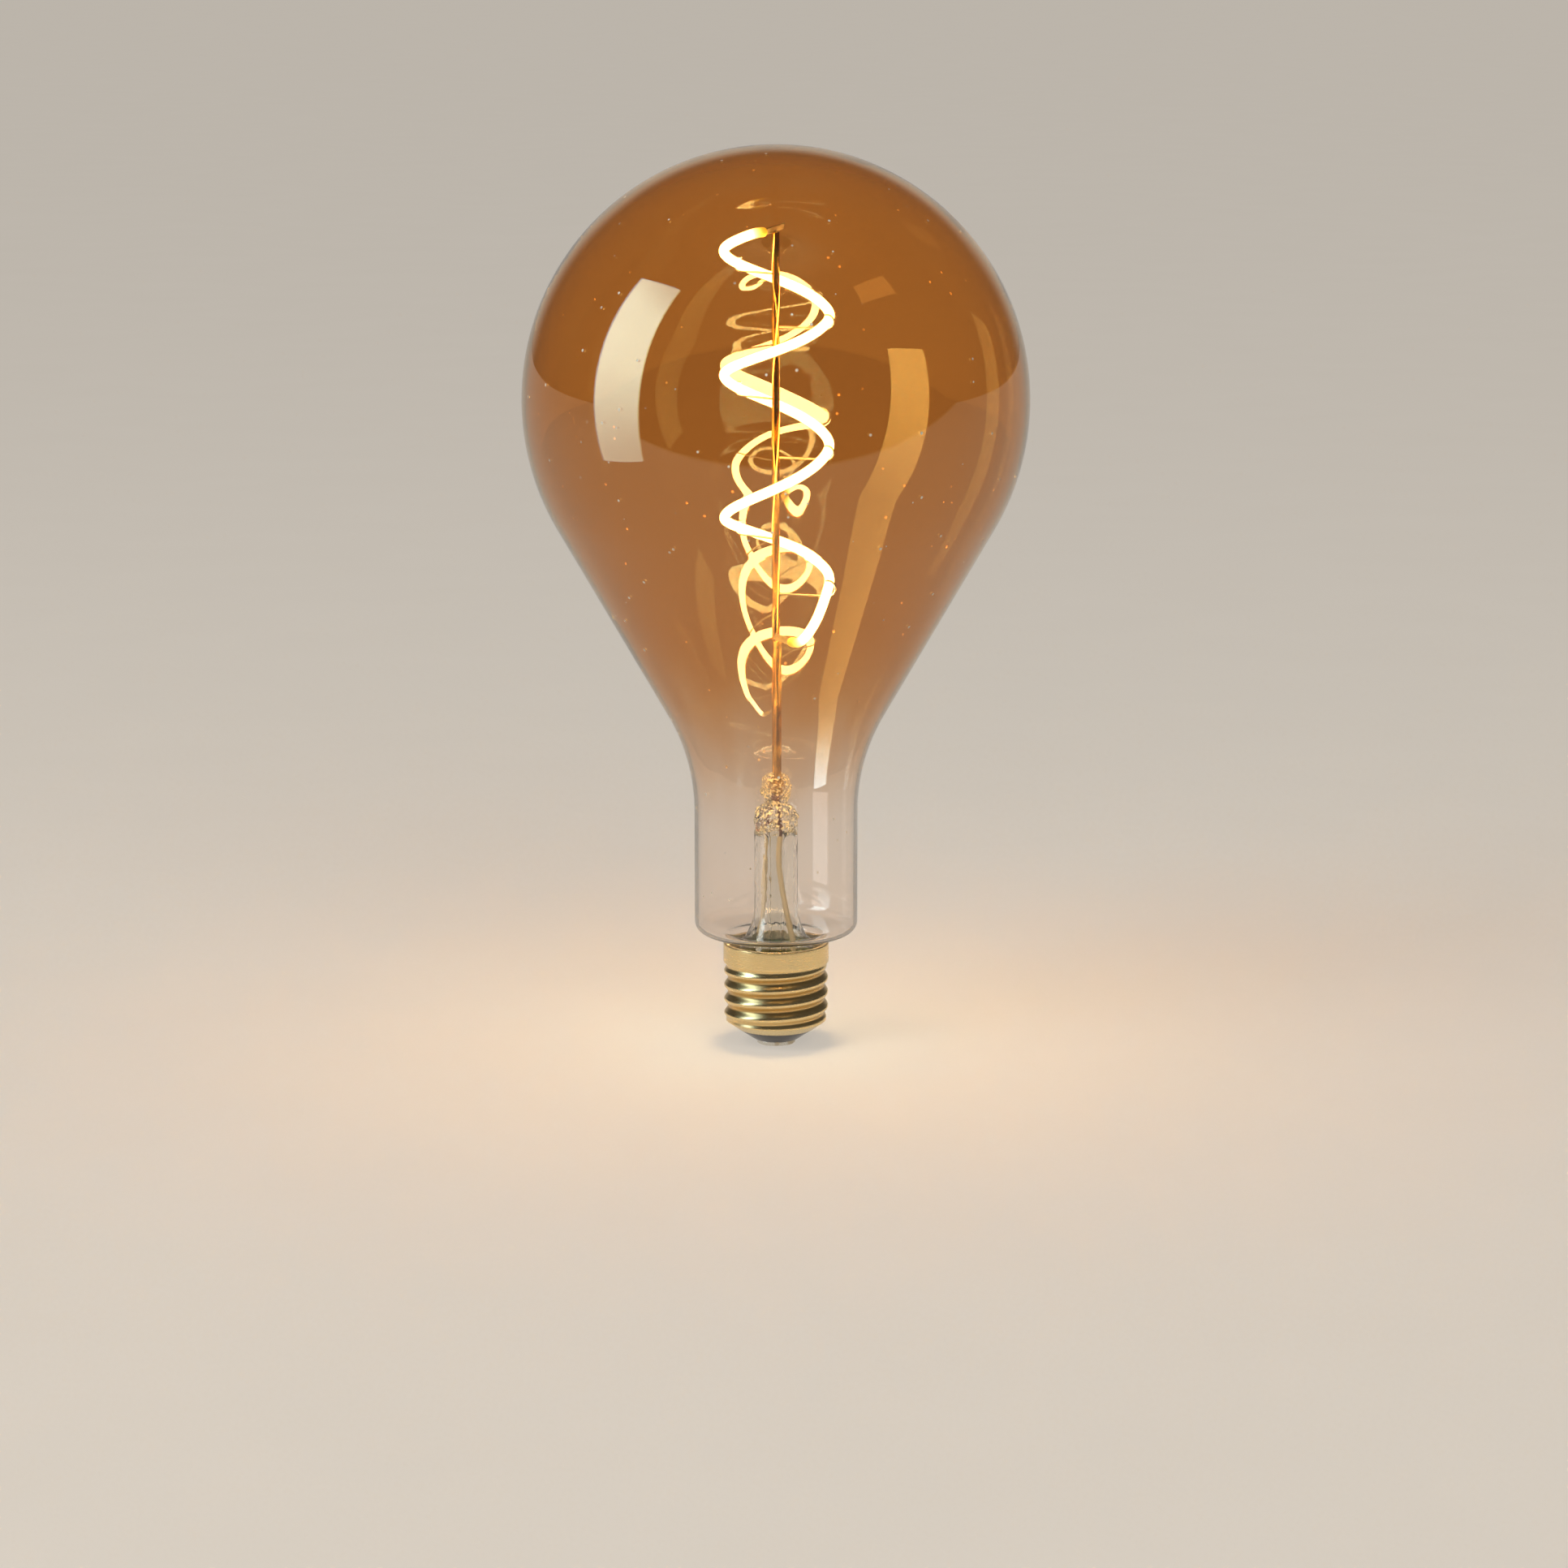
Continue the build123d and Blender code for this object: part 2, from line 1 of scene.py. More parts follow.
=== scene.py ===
import bpy
import numpy as np
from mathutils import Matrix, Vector


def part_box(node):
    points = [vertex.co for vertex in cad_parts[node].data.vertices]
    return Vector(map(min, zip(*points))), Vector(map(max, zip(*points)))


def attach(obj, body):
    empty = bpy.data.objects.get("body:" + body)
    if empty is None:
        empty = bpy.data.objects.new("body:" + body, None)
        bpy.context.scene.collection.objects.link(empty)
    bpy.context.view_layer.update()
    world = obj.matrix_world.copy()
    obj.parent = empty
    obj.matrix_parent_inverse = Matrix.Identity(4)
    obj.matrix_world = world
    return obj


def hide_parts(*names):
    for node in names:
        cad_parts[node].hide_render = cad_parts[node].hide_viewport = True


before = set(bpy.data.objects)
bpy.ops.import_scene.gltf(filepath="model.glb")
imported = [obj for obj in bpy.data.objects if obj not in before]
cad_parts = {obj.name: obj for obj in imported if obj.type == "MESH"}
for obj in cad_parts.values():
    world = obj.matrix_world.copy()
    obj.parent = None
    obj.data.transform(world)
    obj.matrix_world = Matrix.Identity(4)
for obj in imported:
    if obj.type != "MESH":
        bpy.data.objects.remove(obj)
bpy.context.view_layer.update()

# The two rods that carry the filament's ends, standing side by side in the bead of the stem.
# They are copper-coloured drawn wire, cut to length, with slightly rounded ends.
# Sizes of the bulb's pieces, here and below, are in millimetres, and become metres in each mesh.

MILLIMETRES_PER_METRE = 1000
ROD_SIDES = 48
ROD_END_RADIUS = 0.25
ROD_COPPER = (0.82, 0.53, 0.17, 1)
ROD_TARNISH = (0.44, 0.26, 0.1, 1)
ROD_GRAIN = (6, 6, 0.25)
DULL_PATCHES = 0.35
DULL_PATCH_EDGE = (0.42, 0.72)
DULL_ROUGHNESS = 0.12
GRAIN_ROUGHNESS = 0.1


class Shade:
    """One socket among a material's nodes. Python's operators on it add Math nodes."""

    def __init__(self, tree, socket=None):
        self.tree = tree
        self.socket = socket

    def add(self, kind, output, settings=None, **sockets):
        """Adds a node of any kind: first its settings, then a value or a link for each socket named."""
        node = self.tree.nodes.new("ShaderNode" + kind)
        for name, value in (settings or {}).items():
            setattr(node, name, value)
        for name, value in sockets.items():
            self.feed(next(s for s in node.inputs if s.enabled and s.identifier == name), value)
        return Shade(self.tree, next((s for s in node.outputs if s.enabled and s.name == output), None))

    def feed(self, socket, value):
        """Gives a socket a link or a plain value."""
        if isinstance(value, Shade):
            self.tree.links.new(value.socket, socket)
        else:
            socket.default_value = value

    def maths(self, operation, first, second):
        """Adds a Math node of one operation on two values."""
        return self.add("Math", "Value", {"operation": operation}, Value=first, Value_001=second)

    def __add__(self, other):
        return self.maths("ADD", self, other)

    def __radd__(self, other):
        return self.maths("ADD", other, self)

    def __sub__(self, other):
        return self.maths("SUBTRACT", self, other)

    def __rsub__(self, other):
        return self.maths("SUBTRACT", other, self)

    def __mul__(self, other):
        return self.maths("MULTIPLY", self, other)

    def __rmul__(self, other):
        return self.maths("MULTIPLY", other, self)


def new_material(name):
    """An empty material, and the Shade that adds nodes to it."""
    material = bpy.data.materials.new(name)
    material.use_nodes = True
    material.node_tree.nodes.clear()
    return material, Shade(material.node_tree)


def surface_place(nodes, stretch=(1, 1, 1)):
    """Where a point of the surface lies in the lamp's frame, in millimetres times a stretch per axis."""
    scale = tuple(MILLIMETRES_PER_METRE * share for share in stretch)
    place = nodes.add("TexCoord", "Object")
    return nodes.add("Mapping", "Vector", Vector=place, Scale=scale)


def noise(nodes, place, scale, detail=3.0):
    """Cloudy values about 0.5, with scale of them in a millimetre."""
    return nodes.add("TexNoise", "Fac", Vector=place, Scale=scale, Detail=detail)


def stepped(nodes, value, low, high):
    """Share of the way from low to high, eased at both ends and held past them."""
    settings = {"interpolation_type": "SMOOTHSTEP"}
    return nodes.add("MapRange", "Result", settings, Value=value, **{"From Min": low, "From Max": high})


def blended(nodes, share, first, second):
    """Colour between two colours."""
    settings = {"data_type": "RGBA"}
    return nodes.add("Mix", "Result", settings, Factor_Float=share, A_Color=first, B_Color=second)


def bumped(nodes, height, depth):
    """Normal of a surface whose height changes by depth in millimetres."""
    distance = depth / MILLIMETRES_PER_METRE
    return nodes.add("Bump", "Normal", Height=height, Strength=1.0, Distance=distance)


def principled(nodes, **sockets):
    """The main shader, by the names of its sockets with underscores for spaces."""
    named = {name.replace("_", " "): value for name, value in sockets.items()}
    return nodes.add("BsdfPrincipled", "BSDF", **named)


def shown(nodes, surface):
    """Puts a shader on the material's output."""
    nodes.add("OutputMaterial", None, Surface=surface)


def metal(name, bright, dull, roughness, grain, depth):
    """Metal with fine lines that the grain stretches, and cloudy dull patches that are rougher."""
    material, nodes = new_material(name)
    lines = noise(nodes, surface_place(nodes, grain), 1.0, detail=4.0)
    patches = stepped(nodes, noise(nodes, surface_place(nodes), DULL_PATCHES), *DULL_PATCH_EDGE)
    shader = principled(
        nodes,
        Base_Color=blended(nodes, patches, bright, dull),
        Metallic=1.0,
        Roughness=roughness + DULL_ROUGHNESS * patches + GRAIN_ROUGHNESS * lines,
        Normal=bumped(nodes, lines, depth),
    )
    shown(nodes, shader)
    return material


def span(node):
    """Lowest and highest corner of a CAD node in millimetres."""
    return np.array(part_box(node)) * MILLIMETRES_PER_METRE


def make_piece(name, rings, material, nodes, joined=False, values=None):
    """Piece whose surface runs through rings of points, one ring after another, each closed on itself.

    Four neighbouring points make a face. The first and the last ring are each drawn together to their
    mean point, or with joined the last ring meets the first. values gives named numbers for the points,
    one for each ring or one for each point of the rings.
    """
    count, sides = rings.shape[:2]
    index = np.arange(count * sides).reshape(count, sides)
    points = rings.reshape(-1, 3)
    below = np.roll(index, -1, axis=0) if joined else index[1:]
    above = index if joined else index[:-1]
    corners = [above, below, np.roll(below, -1, axis=1), np.roll(above, -1, axis=1)]
    faces = np.stack(corners, axis=-1).reshape(-1, 4).tolist()
    if not joined:
        points = np.concatenate([points, rings[[0, -1]].mean(axis=1)])
        first, last = index[0], index[-1]
        top = np.full(sides, count * sides)
        faces += np.stack([top, first, np.roll(first, -1)], axis=-1).tolist()
        faces += np.stack([top + 1, np.roll(last, -1), last], axis=-1).tolist()
    mesh = bpy.data.meshes.new(name)
    mesh.from_pydata((points / MILLIMETRES_PER_METRE).tolist(), [], faces)
    mesh.polygons.foreach_set("use_smooth", np.ones(len(mesh.polygons), bool))
    for title, numbers in (values or {}).items():
        numbers = np.broadcast_to(numbers.reshape(count, -1), (count, sides))
        ends = [] if joined else numbers[[0, -1], 0]
        attribute = mesh.attributes.new(title, "FLOAT", "POINT")
        attribute.data.foreach_set("value", np.concatenate([numbers.ravel(), ends]).astype(np.float32))
    mesh.materials.append(material)
    piece = bpy.data.objects.new(name, mesh)
    bpy.context.scene.collection.objects.link(piece)
    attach(piece, "root")
    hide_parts(*nodes)


def arc(centre, radius, start, end, steps):
    """Points of a circle's arc between two angles in degrees, as radius and height."""
    angles = np.radians(np.linspace(start, end, steps + 1))
    return np.array(centre) + radius * np.stack([np.cos(angles), np.sin(angles)], axis=-1)


def run(start, end, steps):
    """Evenly spaced points of a straight line, without its two ends."""
    shares = np.linspace(0, 1, steps + 1)[1:-1, None]
    return np.array(start) + shares * (np.array(end) - np.array(start))


def turned(outline, sides, place=(0, 0)):
    """Rings of an outline of radius and height, turned round an upright axis at a place."""
    angles = np.linspace(0, 2 * np.pi, sides, endpoint=False)
    radius, height = np.array(outline).T[:, :, None]
    ring = np.stack([radius * np.cos(angles), radius * np.sin(angles), height + 0 * angles], axis=-1)
    return ring + np.array([*place, 0])


def round_bar(radius, bottom, top, edge):
    """Outline of an upright bar from its top to its bottom, with a quarter arc at each end."""
    upper = arc((radius - edge, top - edge), edge, 90, 0, steps=6)
    lower = arc((radius - edge, bottom + edge), edge, 0, -90, steps=6)
    return np.concatenate([upper, run(upper[-1], lower[0], steps=8), lower])


drawn_copper = metal("drawn_copper", ROD_COPPER, ROD_TARNISH, roughness=0.07, grain=ROD_GRAIN, depth=0.01)
for rod in ("upper_lead", "lower_lead"):
    low, high = span(rod)
    centre = (low + high)[:2] / 2
    outline = round_bar((high - low)[0] / 2, low[2], high[2], ROD_END_RADIUS)
    make_piece(rod + "_rod", turned(outline, ROD_SIDES, centre), drawn_copper, [rod])

# The thin wires that pass through the glass of the pinch, one under each rod.
# They are copper-skinned wire, welded to the rod above and to the sleeved wire below.

SEAL_RED = (0.32, 0.13, 0.07, 1)
SEAL_DARK = (0.12, 0.05, 0.03, 1)
SEAL_GRAIN = (4, 4, 0.5)


def dress(material, *nodes):
    """Gives CAD nodes whose shape is right a finish of their own."""
    for node in nodes:
        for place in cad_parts[node].material_slots:
            place.material = material


sealing_copper = metal("sealing_copper", SEAL_RED, SEAL_DARK, roughness=0.3, grain=SEAL_GRAIN, depth=0.01)
dress(sealing_copper, "upper_seal_wire", "lower_seal_wire")

# The two wires inside the stem, from the seal wires down to the board.
# Each is a stranded wire in a woven glass sleeve, pale and slightly shiny.

SLEEVE_PALE = (0.86, 0.72, 0.47, 1)
# Darker colour in the grooves between the threads: painted shade.
SLEEVE_PAINTED_GROOVE_SHADE = (0.6, 0.44, 0.22, 1)
SLEEVE_ROUGHNESS = 0.65
SLEEVE_SHINE = 0.2
WEAVE_TILT = 0.6
WEAVE_SCALE = 0.9
WEAVE_UNEVEN = 0.8
WEAVE_DEPTH = 0.05


def woven_sleeve():
    """Pale sleeve whose slanting threads are the mean of two sets of waves, tilted one each way, and whose
    grooves between the threads are darker by painted shade.
    """
    material, nodes = new_material("woven_sleeve")
    threads = [
        nodes.add(
            "TexWave",
            "Fac",
            {"bands_direction": "Z"},
            Vector=nodes.add("Mapping", "Vector", Vector=surface_place(nodes), Rotation=(tilt, tilt, 0.0)),
            Scale=WEAVE_SCALE,
            Distortion=WEAVE_UNEVEN,
        )
        for tilt in (WEAVE_TILT, -WEAVE_TILT)
    ]
    weave = 0.5 * (threads[0] + threads[1])
    shader = principled(
        nodes,
        # The colour darkens into the grooves between the threads by painted shade.
        Base_Color=blended(nodes, weave, SLEEVE_PAINTED_GROOVE_SHADE, SLEEVE_PALE),
        Roughness=SLEEVE_ROUGHNESS - SLEEVE_SHINE * weave,
        Normal=bumped(nodes, weave, WEAVE_DEPTH),
    )
    shown(nodes, shader)
    return material


dress(woven_sleeve(), "upper_outer_lead", "lower_outer_lead")

# The stem: a flared glass tube, melted shut at the top, pressed round the seal wires and ended by a bead.
# It is one piece of clear glass, with the ripples and lumps that the burner and the pincers leave, and
# with small pale seeds in the melted part, which carry a painted glow of the filament's light.

STEM_SIDES = 128
STEM_RADIUS = 5.45
STEM_WALL = 0.9
STEM_FLARE_RADIUS = 16.0
PINCH_RADIUS = 3.04
DOME_RISE = 4.2
DOME_THICKNESS = 1.8
DOME_POINTS = 31
BEAD_HEIGHT = 6.1
BEAD_BULGE = 0.7
BEAD_TOP_RADIUS = 1.2
BEAD_TOP_ANGLE = 88
BEAD_POINTS = 43
CEILING_ROUND = 2.4
AXIS_GAP = 0.4
LUMP_DEPTH = 0.2
LUMP_WAVES = ((1.0, 2, 1.1, 0), (0.7, 3, -1.7, 1), (0.5, 5, 2.3, 0), (0.4, 7, -4.1, 2))
LUMPS_START = 3
LUMPS_GROW = 4
LUMPS_EASE = 1.5
SAG_DEPTH = 0.8
SAG_BAND = 1.5
SAG_FROM_RADIUS = 2.2
GLASS_IOR = 1.5
RIPPLE_DEPTH = 0.15
RIPPLE_SCALE = 0.5
RIPPLE_STRETCH = (1, 1, 0.4)
MELTED_DEPTH = 0.65
MELTED_LUMPS = 1.1
MELTED_EDGE = 8.0
MELTED_EDGE_CLOUDS = 0.25
MELTED_FROM = 0.5
MELTED_TO = 1.5
STEM_TINT = (0.985, 0.99, 0.975, 1)
SEED_PALE = (1.0, 0.86, 0.52, 1)
# Painted glow of the filament's light in the seeds, as an emission colour and strength.
SEED_PAINTED_GLOW = (1.0, 0.7, 0.27, 1)
SEED_PAINTED_GLOW_STRENGTH = 0.45
SEED_ROUGHNESS = 0.4
SEED_CELLS = 1.2
SEED_EDGE = (0.54, 0.61)
SEED_SHARE = 0.85

stem_low, stem_high = span("stem_glass")
exhaust_low, exhaust_high = span("exhaust_tube")
stem_ceiling = exhaust_high[2]
dome_side = stem_ceiling + DOME_THICKNESS
dome_top = dome_side + DOME_RISE
bead_top = stem_high[2]
bead_bottom = bead_top - BEAD_HEIGHT
stem_bore = STEM_RADIUS - STEM_WALL


def dome_arc():
    """Quarter of an ellipse from the pinch out to the tube's side."""
    angles = np.radians(np.linspace(90, 0, DOME_POINTS))
    radius = PINCH_RADIUS + (STEM_RADIUS - PINCH_RADIUS) * np.cos(angles)
    return np.stack([radius, dome_side + DOME_RISE * np.sin(angles)], axis=-1)


def bead_arc():
    """Two quarters of an ellipse: one from near the axis at the bead's top out to its widest place, and
    one from there in to the pinch.
    """
    angles = np.radians(np.linspace(BEAD_TOP_ANGLE, -90, BEAD_POINTS))
    middle = (bead_bottom + bead_top) / 2
    foot = np.where(angles > 0, BEAD_TOP_RADIUS, PINCH_RADIUS)
    radius = foot + (PINCH_RADIUS + BEAD_BULGE - foot) * np.cos(angles)
    return np.stack([radius, middle + BEAD_HEIGHT / 2 * np.sin(angles)], axis=-1)


def flare_arcs():
    """Outer and inner arc of the flare, from the tube's side out to the seal and back, on one centre."""
    reach = stem_high[0]
    across = STEM_RADIUS + STEM_FLARE_RADIUS
    radii = np.array([STEM_FLARE_RADIUS, STEM_FLARE_RADIUS + STEM_WALL])
    turns = np.degrees(np.arccos((across - reach) / radii))
    centre = (across, stem_low[2] + radii[1] * np.sin(np.radians(turns[1])))
    outer = arc(centre, radii[0], 180, 180 + turns[0], steps=20)
    inner = arc(centre, radii[1], 180 + turns[1], 180, steps=20)
    return outer, inner


def lumped(rings):
    """Moves the melted part's points away from the axis by the sum of crossed waves, and the points near
    the ceiling up and down by it. Each wave is a height times the sine of turns round the axis, turns
    along it and a start. The waves fade out down the tube and at the bead's top.
    """
    x, y, z = np.moveaxis(rings, -1, 0)
    angle = np.arctan2(y, x)
    waves = sum(
        height * np.sin(around * angle + along * z + start) for height, around, along, start in LUMP_WAVES
    )
    strength = np.clip((z - stem_ceiling + LUMPS_START) / LUMPS_GROW, 0, 1)
    strength *= np.clip((bead_top - z) / LUMPS_EASE, 0, 1)
    reach = np.hypot(x, y)
    growth = 1 + LUMP_DEPTH * waves * strength / np.maximum(reach, PINCH_RADIUS)
    near_ceiling = np.clip(1 - np.abs(z - stem_ceiling) / SAG_BAND, 0, 1)
    near_ceiling *= np.clip(reach - SAG_FROM_RADIUS, 0, 1)
    sag = SAG_DEPTH * waves * strength * near_ceiling
    return np.stack([x * growth, y * growth, z + sag], axis=-1)


def through_for_lamps(nodes, glass, open_way):
    """Glass that bends what is seen through it, and lets the light of lamps straight through."""
    lamp_ray = nodes.add("LightPath", "Is Shadow Ray")
    spread_ray = nodes.add("LightPath", "Is Diffuse Ray")
    either = nodes.maths("MAXIMUM", lamp_ray, spread_ray)
    return nodes.add("MixShader", "Shader", Fac=either, Shader=glass, Shader_001=open_way)


def rippled_glass(name, bending):
    """Clear glass that bends light by a given index, with ripples drawn out along the tube, and with lumps
    and small pale seeds where it was melted shut, which carry a painted glow of the filament's light.
    """
    material, nodes = new_material(name)
    place = surface_place(nodes)
    height = nodes.add("SeparateXYZ", "Z", Vector=place)
    edge = height + MELTED_EDGE * (noise(nodes, place, MELTED_EDGE_CLOUDS, detail=1.0) - 0.5)
    melted = stepped(nodes, edge, stem_ceiling - MELTED_FROM, stem_ceiling + MELTED_TO)
    ripples = noise(nodes, surface_place(nodes, RIPPLE_STRETCH), RIPPLE_SCALE, detail=2.0)
    lumps = melted * noise(nodes, place, MELTED_LUMPS, detail=1.0)
    relief = RIPPLE_DEPTH * ripples + MELTED_DEPTH * lumps
    glass = principled(
        nodes,
        Base_Color=STEM_TINT,
        Roughness=0.0,
        IOR=bending,
        Transmission_Weight=1.0,
        Normal=bumped(nodes, relief, depth=1.0),
    )
    # The seeds are pale and matt, and their emission is a painted glow of the filament's light.
    bubble_painted_glow = principled(
        nodes,
        Base_Color=SEED_PALE,
        Roughness=SEED_ROUGHNESS,
        Emission_Color=SEED_PAINTED_GLOW,
        Emission_Strength=SEED_PAINTED_GLOW_STRENGTH,
        Normal=bumped(nodes, relief, depth=1.0),
    )
    cells = stepped(nodes, noise(nodes, place, SEED_CELLS, detail=1.0), *SEED_EDGE)
    seeds = SEED_SHARE * melted * cells
    seeded = nodes.add("MixShader", "Shader", Fac=seeds, Shader=glass, Shader_001=bubble_painted_glow)
    open_way = nodes.add("BsdfTransparent", "BSDF", Color=STEM_TINT)
    shown(nodes, through_for_lamps(nodes, seeded, open_way))
    material.cycles.emission_sampling = "NONE"
    return material


outer_flare, inner_flare = flare_arcs()
stem_outline = np.concatenate(
    [
        [[AXIS_GAP, bead_top]],
        bead_arc(),
        run((PINCH_RADIUS, bead_bottom), (PINCH_RADIUS, dome_top), steps=12),
        dome_arc(),
        run((STEM_RADIUS, dome_side), outer_flare[0], steps=14),
        outer_flare,
        inner_flare,
        run(inner_flare[-1], (stem_bore, stem_ceiling - CEILING_ROUND), steps=14),
        arc((stem_bore - CEILING_ROUND, stem_ceiling - CEILING_ROUND), CEILING_ROUND, 0, 90, steps=12),
        run((stem_bore - CEILING_ROUND, stem_ceiling), (AXIS_GAP, stem_ceiling), steps=6),
        [[AXIS_GAP, stem_ceiling]],
    ]
)
stem_clear_glass = rippled_glass("stem_clear_glass", GLASS_IOR)
stem_rings = lumped(turned(stem_outline, STEM_SIDES))
make_piece("stem", stem_rings, stem_clear_glass, ["stem_glass"])

# The exhaust tube inside the stem, through which the lamp was pumped out and filled.
# It is thin drawn glass, fused to the stem's ceiling and melted shut to a round tip below the board.

EXHAUST_WALL = 0.8
EXHAUST_SIDES = 48
EXHAUST_IOR = 1.15
FUSED_GAP = 0.04
TIP_ANGLE = -86

exhaust_radius = (exhaust_high - exhaust_low)[0] / 2
exhaust_bore = exhaust_radius - EXHAUST_WALL
exhaust_top = exhaust_high[2] - FUSED_GAP
tip_height = exhaust_low[2] + exhaust_radius
tip_outside = arc((0, tip_height), exhaust_radius, 0, TIP_ANGLE, steps=16)
tip_inside = arc((0, tip_height), exhaust_bore, TIP_ANGLE, 0, steps=16)
exhaust_outline = np.concatenate(
    [
        tip_inside,
        run(tip_inside[-1], (exhaust_bore, exhaust_top), steps=10),
        [[exhaust_bore, exhaust_top], [exhaust_radius, exhaust_top]],
        run((exhaust_radius, exhaust_top), tip_outside[0], steps=10),
        tip_outside,
    ]
)
exhaust_glass = rippled_glass("exhaust_glass", EXHAUST_IOR)
make_piece(
    "exhaust", turned(exhaust_outline, EXHAUST_SIDES), exhaust_glass, ["exhaust_tube"]
)

# The filament: one flexible strip of light-emitting chips in a round yellow phosphor coating.
# It is coiled round the tall rod, falls half a turn at a time by uneven drops, and bends in to both rods.

UPRIGHT = np.array([0.0, 0.0, 1.0])
FILAMENT_RADIUS = 1.2
FILAMENT_SIDES = 20
FILAMENT_END_LEAST = 0.02
POINTS_PER_CORNER = 12
COIL_RADIUS = 13.15
COIL_TOP_DROP = 4.7
HALF_TURN_DROPS = (15.7, 14.7, 17.2, 18.2, 14.6)
CORNERS_PER_HALF_TURN = 6
APEX_PULL = 0.6
END_RUN = 4.4
TERMINAL_REACH = 3.8
TERMINAL_HALF_THICKNESS = 0.175
UPPER_TERMINAL_ANGLE = 50
LOWER_TERMINAL_ANGLE = 135
LOWER_END_STEPS = (0.8, 1.4)
LOWER_END_SHARES = (0.3, 0.65)
DARK_TIP = 0.6
TIP_FADE = 6.6
TIP_FADE_POWER = 4
PHOSPHOR = (0.95, 0.62, 0.12, 1)
PHOSPHOR_GRAIN = 1.5
PHOSPHOR_ROUGHNESS = 0.45
PHOSPHOR_GRAIN_ROUGHNESS = 0.2
GLOW = (1.0, 0.78, 0.44, 1)
GLOW_STRENGTH = 100.0
TIP_GLOW = (0.0115, 0.0096, 0.0011, 1)


def polar(radius, angle, height):
    """Points at radii and angles in degrees round the lamp's axis."""
    angle = np.radians(angle)
    return np.stack(np.broadcast_arrays(radius * np.cos(angle), radius * np.sin(angle), height), axis=-1)


def rod_end(rod, angle):
    """Filament's end beside a rod's top, and the way that the strip there points."""
    low, high = span(rod)
    way = polar(1.0, angle, 0.0)
    top = np.array([*(low + high)[:2] / 2, high[2] + TERMINAL_HALF_THICKNESS])
    return top - TERMINAL_REACH * way, way


def filament_corners():
    """Corners of the filament's line: the coil at even angles, with its two bent ends."""
    upper_end, upper_way = rod_end("upper_lead", UPPER_TERMINAL_ANGLE)
    lower_end, lower_way = rod_end("lower_lead", LOWER_TERMINAL_ANGLE)
    step = 180 / CORNERS_PER_HALF_TURN
    corner = np.arange(len(HALF_TURN_DROPS) * CORNERS_PER_HALF_TURN + 1)
    levels = span("upper_lead")[1][2] - COIL_TOP_DROP - np.cumsum([0, *HALF_TURN_DROPS])
    height = np.interp(corner / CORNERS_PER_HALF_TURN, np.arange(len(levels)), levels)
    at_right = corner % (2 * CORNERS_PER_HALF_TURN) == CORNERS_PER_HALF_TURN
    coil = polar(COIL_RADIUS + APEX_PULL * at_right, 180 - step * corner, height)
    rise = polar(COIL_RADIUS, 180 + step, (height[0] + upper_end[2]) / 2)
    last_angle = 180 - step * (corner[-1] + np.array(LOWER_END_STEPS))
    last_height = height[-1] + np.array(LOWER_END_SHARES) * (lower_end[2] - height[-1])
    falls = polar(COIL_RADIUS, last_angle, last_height)
    upper = [upper_end, upper_end - END_RUN * upper_way, rise]
    lower = [lower_end - END_RUN * lower_way, lower_end]
    return np.concatenate([upper, coil, falls, lower])


def smooth_line(corners, points_per_corner):
    """Curve that touches the middle of each run between corners: at share t past the middle before a
    corner, half of (1 - t) squared of the corner before, half of t squared of the one after, and the
    rest of the corner itself. It starts and ends on the first and the last corner.
    """
    ends = np.array([2 * corners[0] - corners[1], *corners, 2 * corners[-1] - corners[-2]])
    before, here, after = (ends[first : first + len(corners), None] for first in range(3))
    t = np.linspace(0, 1, points_per_corner, endpoint=False)[None, :, None]
    weight_before = (1 - t) ** 2 / 2
    weight_after = t**2 / 2
    curve = weight_before * before + (1 - weight_before - weight_after) * here + weight_after * after
    half = points_per_corner // 2
    return curve.reshape(-1, 3)[half : 1 - half]


def along_line(line):
    """Length of a line up to each of its points."""
    steps = np.linalg.norm(np.diff(line, axis=0), axis=1)
    return np.concatenate([[0], np.cumsum(steps)])


def across_and_up(line):
    """Unit vectors across a line at its points: one level with the floor, and one square to both."""
    way = np.gradient(line, axis=0)
    way /= np.linalg.norm(way, axis=1, keepdims=True)
    across = np.cross(way, UPRIGHT)
    across /= np.linalg.norm(across, axis=1, keepdims=True)
    return across[:, None], np.cross(across, way)[:, None]


def wire_rings(line, radius, sides):
    """Rings of a round wire: circles across the line, each started level with the floor."""
    across, lift = across_and_up(line)
    angles = np.linspace(0, 2 * np.pi, sides, endpoint=False)[None, :, None]
    radius = np.broadcast_to(radius, len(line))[:, None, None]
    return line[:, None] + radius * (np.cos(angles) * across + np.sin(angles) * lift)


def lit_phosphor():
    """Coating that glows almost white along the strip and dull yellow at its unlit ends."""
    material, nodes = new_material("lit_phosphor")
    material.cycles.emission_sampling = "NONE"
    lit = nodes.add("Attribute", "Fac", {"attribute_name": "lit"})
    grain = noise(nodes, surface_place(nodes), PHOSPHOR_GRAIN)
    shader = principled(
        nodes,
        Base_Color=PHOSPHOR,
        Roughness=PHOSPHOR_ROUGHNESS + PHOSPHOR_GRAIN_ROUGHNESS * grain,
        Emission_Color=blended(nodes, lit, TIP_GLOW, GLOW),
        Emission_Strength=GLOW_STRENGTH,
    )
    shown(nodes, shader)
    return material


